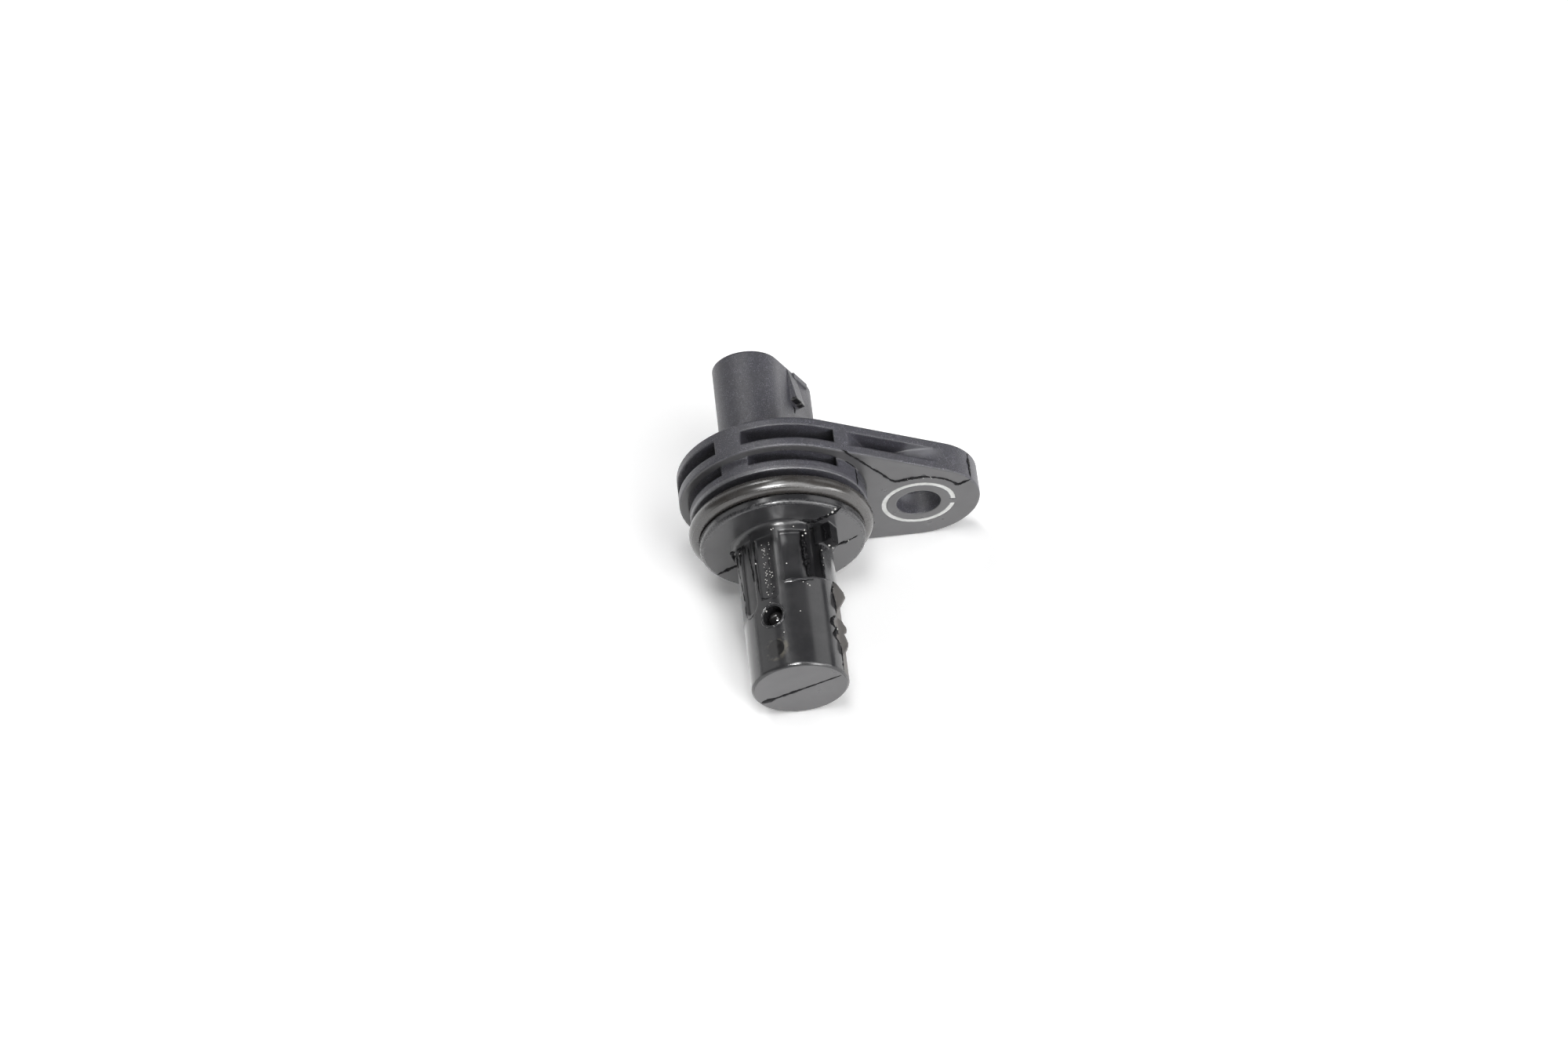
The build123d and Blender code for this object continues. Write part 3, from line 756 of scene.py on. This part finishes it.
class SENSOR_OT_carrier(bpy.types.Operator):
    """Finish the carrier, whose two pins show in the nose"""

    bl_idname = "sensor.carrier"
    bl_label = "Carrier finish"

    def execute(self, context):
        finish = Finish("carrier_nylon", roughness=0.12, index=1.54)
        cloud = finish.noise(0.8, 3.0)
        finish.set("Base Color", finish.tint(cloud, *CARRIER_TINTS))
        finish.set("Roughness", finish.rise(cloud, 0.3, 0.8, 0.07, 0.2))
        edges = finish.rise(finish.parts()[2], MARK_STATION - 3, MARK_STATION - 2, EDGE_CARRIER, 0.0)
        finish.set("Normal", finish.bump(finish.times(cloud, 0.01), finish.bevel(edges)))
        dress("element_carrier", finish.material)
        return {"FINISHED"}


# The rubber's darker patches, as shares of its colour
RUBBER_SHADE = (0.84, 0.80, 0.76)


class SENSOR_OT_seal(bpy.types.Operator):
    """Finish the rubber seal ring with its satin sheen and two faint mould seams"""

    bl_idname = "sensor.seal"
    bl_label = "Seal ring finish"

    def execute(self, context):
        colours = context.scene.sensor_colours
        finish = Finish("seal_rubber", index=1.65)
        along = finish.parts()[2]
        cloud = finish.noise(2.4, 3.0)
        brown = tuple(value * share for value, share in zip(colours.rubber, RUBBER_SHADE))
        finish.set("Base Color", finish.tint(finish.rise(cloud, 0.3, 0.7), tuple(colours.rubber), brown))
        finish.set("Roughness", finish.rise(finish.noise(1.3, 2.0), 0.3, 0.7, 0.24, 0.29))
        seams = finish.plus(*[finish.band(along, SEAL_STATION + side, 0.02, 0.05) for side in SEAL_SEAMS])
        fine = finish.times(finish.noise(0.2, 2.0), 0.0008)
        finish.set("Normal", finish.bump(finish.maths("MULTIPLY_ADD", seams, 0.02, fine)))
        dress("o_ring_seal", finish.material)
        return {"FINISHED"}


# The bush's paler steel, the nylon smeared on its edges, and how ragged that smear is
STEEL_PATCH = (0.40, 0.41, 0.39)
SMEAR_TINT = (0.10, 0.10, 0.105)
SMEAR_RAGGED = 0.34


class SENSOR_OT_bush(bpy.types.Operator):
    """Finish the steel bush, sawn at its ends and smeared with nylon at its edges"""

    bl_idname = "sensor.bush"
    bl_label = "Bush finish"

    def execute(self, context):
        colours = context.scene.sensor_colours
        finish = Finish("sawn_steel", index=2.5)
        across, opening, along = finish.parts()
        middle = from_ear(EAR_REACH, 0.0, 0.0).tolist()
        radius = finish.length(finish.maths("SUBTRACT", across, middle[0]),
                               finish.maths("SUBTRACT", opening, middle[1]))
        away = finish.maths("ABSOLUTE", finish.maths("SUBTRACT", radius, BUSH_MIDDLE_RADIUS))
        torn = finish.times(finish.noise(0.7, 4.0, contrast=0.65), SMEAR_RAGGED)
        smear = finish.rise(finish.plus(away, torn), 0.45, 0.51)
        cloud = finish.noise(1.1, 3.0)
        bright = finish.tint(finish.rise(cloud, 0.3, 0.7), tuple(colours.steel), STEEL_PATCH)
        finish.set("Base Color", finish.tint(smear, bright, SMEAR_TINT))
        finish.set("Metallic", finish.blend(smear, 0.35, 0.0))
        finish.set("Roughness", 0.5)
        sawn = finish.noise(0.12, 2.0, place=finish.joined(finish.times(across, 0.15), opening, along))
        finish.set("Normal", finish.bump(finish.times(sawn, 0.006)))
        dress("mounting_bush", finish.material)
        return {"FINISHED"}


# Inner pieces: base colour, second colour, roughness, metal share, and the nodes that take it
INNER_FINISHES = {
    "tinned_brass": ((0.70, 0.66, 0.56), (0.52, 0.47, 0.36), 0.30, 1.0,
                     ("terminal_supply", "terminal_ground", "terminal_signal")),
    "tinned_copper": ((0.72, 0.70, 0.66), (0.60, 0.54, 0.46), 0.35, 1.0,
                      ("chip_lead_supply", "chip_lead_ground", "chip_lead_signal")),
    "brown_ceramic": ((0.48, 0.36, 0.25), (0.60, 0.58, 0.55), 0.35, 0.0,
                      ("capacitor_supply", "capacitor_signal")),
    "moulded_epoxy": ((0.04, 0.04, 0.045), (0.07, 0.07, 0.07), 0.55, 0.0, ("hall_chip",)),
    "pressed_steel": ((0.55, 0.55, 0.56), (0.40, 0.40, 0.41), 0.35, 1.0, ("pole_plate",)),
    "plated_magnet": ((0.42, 0.42, 0.43), (0.30, 0.30, 0.31), 0.30, 1.0, ("bias_magnet",)),
}


class SENSOR_OT_electrics(bpy.types.Operator):
    """Finish the terminals, leads, capacitors, chip, pole plate and magnet"""

    bl_idname = "sensor.electrics"
    bl_label = "Inner finishes"

    def execute(self, context):
        for name, (first, second, roughness, metal, nodes) in INNER_FINISHES.items():
            finish = Finish(name, metal=metal)
            cloud = finish.noise(0.9, 4.0)
            fine = finish.noise(0.15, 2.0)
            finish.set("Base Color", finish.tint(finish.rise(cloud, 0.4, 0.7), first, second))
            finish.set("Roughness", finish.rise(cloud, 0.2, 0.8, roughness, roughness + 0.15))
            finish.set("Normal", finish.bump(finish.times(fine, 0.003), finish.bevel(0.06)))
            for node in nodes:
                dress(node, finish.material)
        return {"FINISHED"}


def flash_material(colours):
    """Thin black flash: far darker than the nylon it grew from, with a weak and uneven gloss."""
    finish = Finish("flash_nylon", tuple(colours.flash), 0.28, index=1.5)
    rough = finish.noise(0.12, 3.0, contrast=0.7)
    finish.set("Roughness", finish.rise(rough, 0.3, 0.7, 0.22, 0.5))
    finish.set("Specular IOR Level", 0.06)
    finish.set("Normal", finish.bump(finish.times(rough, 0.05)))
    return finish.material


def ridges(groups, material):
    """One piece for each named group of lines."""
    for name, lines in groups.items():
        piece(name, [ridge(*line) for line in lines], material)


def radial(line):
    """The way that a cylinder about the nose axis looks at each point."""
    flat = line * [1, 1, 0]
    return flat / np.linalg.norm(flat, axis=1, keepdims=True)


def from_hole(line):
    """The way that a cylinder about the bolt hole looks at each point."""
    return radial(line - from_ear(EAR_REACH, 0.0, 0.0))


# The line of flash on the ear's face, as (ear, side) places, round the hole and out to the edge
EAR_LINE_START = [(6.6, 13.5), (8.4, 11.9), (10.2, 10.5), (12.0, 8.9), (14.0, 7.3), (15.6, 5.9), (16.4, 5.5)]
EAR_LINE_RADIUS = 7.0
EAR_LINE_ANGLES = (124, 48)
EAR_LINE_STOP = (27.55, 6.75)


def ear_line():
    """The flash on the ear's face: straight from the neck, an arc about the hole, and out to the rim."""
    turn = np.radians(np.linspace(*EAR_LINE_ANGLES, 24))
    arc = np.stack([EAR_REACH + EAR_LINE_RADIUS * np.cos(turn), EAR_LINE_RADIUS * np.sin(turn)], 1)
    flat = np.concatenate([EAR_LINE_START, arc, [EAR_LINE_STOP]])
    return from_ear(flat[:, 0], flat[:, 1], 0.0)


def on_nose(places, sunk=0.0):
    """Places given as (angle, station) on the nose, sunk below its surface by this much."""
    angle, station = np.array(places, float).T
    return round_nose(angle, station, NOSE_RADIUS - sunk)


# Lines of flash on the nose: places as (angle, station), how far sunk, width, height, sideways sway
NOSE_LINES = (
    ([(-1.0, 17.4), (4.2, 18.6), (1.2, 19.6), (0.4, 20.8), (-0.4, 22.1)], 0.0, 0.34, 0.16, 0.10),
    ([(2.0, 22.6), (11.0, 23.4), (12.0, 24.2), (5.0, 24.8)], 0.0, 0.60, 0.24, 0.12),
    ([(4.5, 24.7), (10.5, 25.8), (8.5, 26.4), (-1.0, 27.0)], 0.0, 0.60, 0.24, 0.12),
    ([(-2.0, 26.9), (-12.0, 26.95)], 0.0, 0.30, 0.12, 0.05),
    ([(-2.4, 27.2), (-2.2, 28.8), (-1.0, 31.3)], 0.0, 0.24, 0.10, 0.06),
    ([(180.0, 9.0), (180.0, 31.3)], 0.0, 0.16, 0.07, 0.03),
    ([(142.0, 11.8), (137.8, 13.6), (133.6, 15.9), (130.4, 18.3), (130.2, 20.3), (128.4, 21.3)],
     0.05, 0.24, 0.10, 0.05),
    ([(128.4, 21.3), (122.0, 21.7), (116.6, 21.6), (109.6, 20.9)], 0.02, 0.12, 0.05, 0.03),
    ([(111.1, 10.4), (109.8, 13.0), (107.5, 14.8), (107.2, 16.5)], 0.02, 0.20, 0.09, 0.05),
    ([(100.1, 10.0), (101.1, 11.8), (101.6, 14.3), (100.9, 16.9), (100.6, 19.2)], 0.02, 0.30, 0.12, 0.08),
    ([(100.5, 19.6), (92.3, 20.1), (81.2, 20.4), (77.6, 20.0)], 0.02, 0.14, 0.06, 0.04),
    ([(140.0, 9.0), (129.0, 9.6), (118.0, 9.9)], -0.05, 0.70, 0.25, 0.15),
    ([(140.5, 9.4), (142.0, 10.6), (141.0, 11.9)], 0.0, 0.70, 0.22, 0.15),
    ([(130.0, 9.6), (129.0, 10.8), (131.0, 12.3)], 0.0, 0.55, 0.20, 0.15),
    ([(117.0, 9.9), (116.5, 11.3)], 0.0, 0.40, 0.16, 0.10),
    ([(38.7, 8.9), (38.2, 11.2), (38.4, 13.3), (37.2, 15.4), (33.0, 17.2)], 0.62, 0.62, 0.30, 0.22),
    ([(33.5, 9.2), (33.0, 13.0), (33.2, 17.0)], 0.85, 0.60, 0.20, 0.15),
    ([(13.1, 11.3), (15.4, 12.6), (15.8, 14.3), (14.6, 17.2)], 0.0, 0.45, 0.20, 0.15),
    ([(52.0, 18.25), (44.0, 18.15), (34.0, 17.8)], 0.0, 0.24, 0.07, 0.05),
)
# Lines of flash on the disc's face: places as (across, opening), width, height, sideways sway
DISC_LINES = (
    ([(-11.7, -0.9), (-9.9, -0.65), (-8.1, -0.45), (-7.2, -0.35)], 0.62, 0.16, 0.06),
    ([(4.9, 5.3), (5.9, 4.3), (6.9, 3.4), (7.9, 3.3), (9.1, 3.34), (10.3, 3.45), (11.9, 4.2)],
     0.62, 0.20, 0.12),
    ([(5.5, -4.9), (7.0, -4.8), (8.9, -4.55)], 0.62, 0.16, 0.12),
    ([(8.4, -4.6), (10.0, -4.3)], 0.26, 0.10, 0.10),
    ([(-7.9, 0.5), (-7.3, 1.9), (-6.6, 3.0), (-5.0, 3.9)], 0.60, 0.20, 0.2),
)
# Edges of the web beside the slot, as (across, opening, along) places
WEB_LINES = (
    [(7.6, 2.03, 8.5), (7.9, 2.03, 9.8), (7.7, 2.03, 11.0)],
    [(8.62, 1.9, 8.5), (8.62, 2.0, 11.05), (7.5, 2.03, 11.1)],
    [(8.62, -0.3, 11.05), (8.62, 1.9, 11.1)],
)
# The ear wall's flash: its angle about the bolt hole, and how far it stops short of the two faces
EAR_WALL_ANGLE = 47.0
EAR_WALL_GAPS = (0.3, 0.25)


def flash_lines(width, height):
    """Every ridge of flash by piece: places, the way it faces, width, height, seed, raggedness and sway."""
    rim = TIP_RADIUS - 0.15
    ear = ear_line()
    turn = radians(EAR_WALL_ANGLE)
    back, front = EAR_WALL_GAPS
    wall = from_ear([EAR_REACH + EAR_RADIUS * cos(turn)] * 2, [EAR_RADIUS * sin(turn)] * 2,
                    [back - FLANGE_THICK, -front])
    high = NECK_HIGH - 0.1
    return {
        "tip_flash": [
            ([(-rim, -0.1, TIP_STATION), (0, -0.25, TIP_STATION), (rim, -0.35, TIP_STATION)],
             FORWARD, width, height, 11, 0.4),
            ([(-6.5, -0.12, TIP_STATION), (-4.0, -0.15, TIP_STATION)], FORWARD, 4.0, 0.30, 12, 0.2),
            ([(-4.9, -0.16, TIP_STATION), (0.6, -0.24, TIP_STATION)], FORWARD, 0.46, 0.10, 13, 0.4)],
        "disc_flash": [
            ([(*place, DISC_END) for place in line], FORWARD, wide, tall, 21 + i, 0.5, sway)
            for i, (line, wide, tall, sway) in enumerate(DISC_LINES)],
        "ear_flash": [
            (ear, FORWARD, 0.30, 0.14, 31, 0.4, 0.05),
            (ear[5:18] + [0.05, 0.12, 0], FORWARD, 0.42, 0.16, 32, 0.5, 0.06),
            (ear[-5:] + [-0.1, 0.05, 0], FORWARD, 0.5, 0.16, 33, 0.5, 0.1)],
        "ear_wall_flash": [(wall, from_hole, 0.7, 0.12, 41, 0.6, 0.12)],
        "neck_flash": [
            (round_nose([0, 0], [0.05, high], NECK_RADIUS), radial, 0.30, 0.12, 51, 0.5),
            (round_nose([180, 180], [0.05, high], NECK_RADIUS), radial, 0.18, 0.08, 52, 0.5),
            (round_nose([180, 180], [0.3 - FLANGE_THICK, -0.3], FLANGE_RADIUS), radial, 0.2, 0.10, 53, 0.5),
            (round_nose(np.linspace(0, 12, 6), 0.0, NECK_RADIUS + 0.05), FORWARD, 0.25, 0.12, 54, 0.5),
            ([(12.6, -0.9, high), (12.3, -3.4, high)], radial, 0.3, 0.12, 55, 0.5)],
        "nose_flash": [
            (on_nose(line, sunk), radial, wide, tall, 61 + i, 0.55, sway)
            for i, (line, sunk, wide, tall, sway) in enumerate(NOSE_LINES)],
        "web_flash": [(line, radial, 0.34, 0.16, 91 + i, 0.6, 0.12) for i, line in enumerate(WEB_LINES)],
        "plug_flash": [
            ([(PLUG_FLAT, 0.88, -19.7), (PLUG_FLAT, 0.54, -18.1), (PLUG_FLAT, 0.42, -16.6)],
             SIDEWAYS, 0.34, 0.10, 81, 0.5, 0.05),
            ([(PLUG_FLAT, 0.71, -13.9), (PLUG_FLAT, 0.25, -13.4), (PLUG_FLAT, 0.33, -12.6)],
             SIDEWAYS, 0.42, 0.14, 82, 0.5, 0.08)],
    }


class SENSOR_OT_flash(bpy.types.Operator):
    """Lay the ragged black flash on the tip, disc, ear, neck, nose, web and plug"""

    bl_idname = "sensor.flash"
    bl_label = "Mould flash"

    def execute(self, context):
        sizes = context.scene.sensor_sizes
        lines = flash_lines(sizes.flash_width / MM, sizes.flash_height / MM)
        ridges(lines, flash_material(context.scene.sensor_colours))
        return {"FINISHED"}


# The marking: two columns of small pips, as angles on the nose, and the stations they run between
PIP_COLUMNS = (90.0, 83.2)
PIP_LINES = (-0.18, 0.0, 0.18)
PIP_SPAN = (11.1, 19.6)
PIP_PITCH = 0.26
PIP_SHARE = 0.5
# Share of the pips painted pale for their glints
PIP_GLINT_SHARE = 0.36
PIP_STRAY = 0.05
PIP_SIZES = (0.75, 1.2)
PIP_HEIGHT = 0.9


class SENSOR_OT_marking(bpy.types.Operator):
    """Set two columns of small pips in the channel on the nose, where a dotted marking stands; a share of
    them is painted pale for their glints
    """

    bl_idname = "sensor.marking"
    bl_label = "Marking pips"

    def execute(self, context):
        sizes, colours = context.scene.sensor_sizes, context.scene.sensor_colours
        draws = np.random.default_rng(5)
        columns, lines, stations = np.meshgrid(PIP_COLUMNS, PIP_LINES, np.arange(*PIP_SPAN, PIP_PITCH))
        here = draws.random(columns.size) < PIP_SHARE
        angle = (columns + np.degrees(lines / NOSE_RADIUS)).ravel()[here]
        station = stations.ravel()[here] + draws.uniform(-PIP_STRAY, PIP_STRAY, len(angle))
        places = round_nose(angle, station, NOSE_RADIUS - CHANNEL_DEPTH)
        radii = sizes.pip_radius / MM * draws.uniform(*PIP_SIZES, len(places))
        # Painted glints: this share of the pips takes the pale speck colour
        bright = draws.random(len(places)) < PIP_GLINT_SHARE
        solids = beads(places, radial(places), radii, radii * PIP_HEIGHT, 6)
        dark = Finish("pip_nylon", tuple(colours.flash), 0.15)
        dark.set("Normal", dark.bump(dark.times(dark.noise(0.1, 2.0), 0.01)))
        piece("marking_pips", [s for s, b in zip(solids, bright) if not b], dark.material)
        piece("marking_pips_glint", [s for s, b in zip(solids, bright) if b],
              glint_grit_material(colours))
        return {"FINISHED"}


def glint_grit_material(colours):
    """Pale specks and pips: small bumps of grit whose pale colour paints the glints they show."""
    finish = bpy.data.materials.get("glint_painted_grit")
    if finish is not None:
        return finish
    finish = Finish("glint_painted_grit", tuple(colours.grit), 0.25)
    finish.set("Base Color", finish.tint(finish.noise(0.2, 2.0), tuple(colours.grit), (0.5, 0.49, 0.46)))
    return finish.material


# The lip along the step in the nose, and its thick bright start, as (angle, station) places
STEP_LINE = [
    (69.0, 18.1), (64.0, 17.9), (59.0, 17.8), (47.5, 17.75), (34.8, 17.5), (16.5, 17.15), (-1.0, 16.7)]
STEP_START = [(69.5, 18.15), (64.0, 17.95), (57.0, 17.85), (49.0, 17.8)]
STEP_SUNK = 0.03


def lip_lines(radius):
    """The ridges of the lip round the pin hole, in two overlapping halves, and of the lip along the step."""
    turn = np.linspace(0, 2 * pi, 73)
    angle = PIN_ANGLE + np.degrees(radius * np.cos(turn) / NOSE_RADIUS)
    ring = round_nose(angle, PIN_HOLE_STATION + radius * np.sin(turn))
    return {
        "pin_hole_lip": [
            (ring[:40], radial, 0.36, 0.17, 91, 0.3),
            (ring[34:], radial, 0.36, 0.17, 95, 0.3)],
        "step_lip": [
            (on_nose(STEP_LINE, STEP_SUNK), radial, 0.40, 0.13, 96, 0.2),
            (on_nose(STEP_START, STEP_SUNK), radial, 1.7, 0.28, 97, 0.1)],
    }


class SENSOR_OT_lips(bpy.types.Operator):
    """Raise the thin lips round the pin hole and along the step in the nose"""

    bl_idname = "sensor.lips"
    bl_label = "Thin lips"

    def execute(self, context):
        sizes, colours = context.scene.sensor_sizes, context.scene.sensor_colours
        finish = Finish("lip_nylon", tuple(colours.polished_nylon), 0.24, index=1.54)
        finish.set("Normal", finish.bump(finish.times(finish.noise(0.3, 2.0), 0.01)))
        ridges(lip_lines(sizes.lip_radius / MM), finish.material)
        return {"FINISHED"}


# Specks on the nose, painted pale for their glints, as (angle, station, radius of the surface there, size
# against the usual)
NOSE_SPECKS = [
    (101.3, 13.8, 7.0, 1.5), (62.8, 14.7, 6.2, 1.2), (53.5, 23.1, 7.0, 1.0), (38.2, 18.8, 7.0, 1.1),
    (41.0, 18.6, 7.0, 1.0), (75.5, 26.2, 7.0, 1.1), (36.0, 9.5, 6.9, 1.7), (34.0, 9.9, 6.7, 1.5),
    (37.5, 9.3, 6.9, 1.0), (76.0, 9.3, 7.15, 1.1), (73.5, 9.2, 7.15, 0.9), (50.0, 9.2, 7.15, 1.0),
    (34.0, 12.6, 6.2, 0.9), (33.0, 16.9, 6.2, 1.1), (46.0, 18.3, 7.0, 0.9), (4.0, 24.9, 7.15, 1.3),
    (2.0, 18.1, 7.1, 0.9), (88.0, 20.9, 7.0, 0.8), (128.0, 10.4, 7.1, 1.2), (64.0, 17.9, 7.0, 1.1),
    (93.8, 22.1, 7.05, 1.6), (78.9, 24.5, 7.05, 1.2), (38.0, 10.3, 6.6, 1.4), (36.5, 11.4, 6.5, 1.1),
    (39.0, 12.6, 6.5, 0.9), (15.5, 12.4, 7.15, 1.2), (14.0, 13.6, 7.15, 0.9), (15.8, 14.9, 7.15, 1.0),
]
# Specks on flat faces, painted pale for their glints, as (across, opening, along, size)
FACE_SPECKS = [
    (11.0, 4.45, 8.3, 1.9), (10.3, 4.0, 8.3, 2.1), (9.5, 3.75, 8.3, 1.0), (7.45, 0.4, 11.1, 2.0),
    (7.5, 0.5, 10.5, 1.3), (8.3, -4.55, 8.3, 1.1), (5.5, -4.7, 8.4, 1.6), (5.3, -5.0, 9.0, 1.2),
]


# Specks beside the ear's flash, painted pale for their glints: how many, their angles about the bolt hole,
# how far they stray, their sizes
EAR_SPECKS = 22
EAR_SPECK_ANGLES = (88, 122)
EAR_SPECK_STRAY = 0.2
EAR_SPECK_SIZES = (0.5, 1.2)
# Height of the other specks against their radius, and how far every speck is from round
SPECK_HEIGHT = 0.8
SPECK_LUMPS = 0.2


class SENSOR_OT_grit(bpy.types.Operator):
    """Scatter the specks, painted pale for their glints: on the nose, on the disc's flash and along the ear's
    flash
    """

    bl_idname = "sensor.grit"
    bl_label = "Bright specks"

    def execute(self, context):
        sizes, colours = context.scene.sensor_sizes, context.scene.sensor_colours
        size = sizes.speck_radius / MM
        nose, face = np.array(NOSE_SPECKS), np.array(FACE_SPECKS)
        places = round_nose(*nose[:, :3].T)
        draws = np.random.default_rng(9)
        turn = np.radians(draws.uniform(*EAR_SPECK_ANGLES, EAR_SPECKS))
        reach = EAR_LINE_RADIUS + draws.uniform(-EAR_SPECK_STRAY, EAR_SPECK_STRAY, EAR_SPECKS)
        ear = from_ear(EAR_REACH + reach * np.cos(turn), reach * np.sin(turn), 0.05)
        grown = size * draws.uniform(*EAR_SPECK_SIZES, EAR_SPECKS)
        solids = []
        for middles, facing, radii, height, seed in (
                (places, radial(places), nose[:, 3] * size, SPECK_HEIGHT, 7),
                (face[:, :3], FORWARD, face[:, 3] * size, SPECK_HEIGHT, 8),
                (ear, FORWARD, grown, 1.0, 10)):
            solids += beads(middles, facing, radii, radii * height, seed, SPECK_LUMPS)
        piece("glint_painted_specks", solids, glint_grit_material(colours))
        return {"FINISHED"}


STEPS = (
    SENSOR_OT_stage, SENSOR_OT_housing, SENSOR_OT_carrier, SENSOR_OT_seal, SENSOR_OT_bush,
    SENSOR_OT_electrics, SENSOR_OT_flash, SENSOR_OT_marking, SENSOR_OT_lips, SENSOR_OT_grit,
)


class SENSOR_PT_looks(bpy.types.Panel):
    """The sensor's settings and the steps that build its looks"""

    bl_label = "Camshaft sensor"
    bl_space_type = "VIEW_3D"
    bl_region_type = "UI"
    bl_category = "Sensor"

    def draw(self, context):
        for group in (context.scene.sensor_sizes, context.scene.sensor_colours, context.scene.sensor_studio):
            box = self.layout.box()
            for name in group.__annotations__:
                box.prop(group, name)
        for step in STEPS:
            self.layout.operator(step.bl_idname)


CLASSES = (SensorColours, SensorSizes, SensorStudio, *STEPS, SENSOR_PT_looks)


def register():
    """Registers the classes and puts their settings on the scene."""
    for made in CLASSES:
        bpy.utils.register_class(made)
    bpy.types.Scene.sensor_colours = bpy.props.PointerProperty(type=SensorColours)
    bpy.types.Scene.sensor_sizes = bpy.props.PointerProperty(type=SensorSizes)
    bpy.types.Scene.sensor_studio = bpy.props.PointerProperty(type=SensorStudio)


def unregister():
    """Takes the settings and classes away again."""
    del bpy.types.Scene.sensor_studio
    del bpy.types.Scene.sensor_sizes
    del bpy.types.Scene.sensor_colours
    for made in reversed(CLASSES):
        bpy.utils.unregister_class(made)


def main():
    """Builds the looks in order."""
    register()
    for step in STEPS:
        group, action = step.bl_idname.split(".")
        getattr(getattr(bpy.ops, group), action)()


if __name__ == "__main__":
    main()
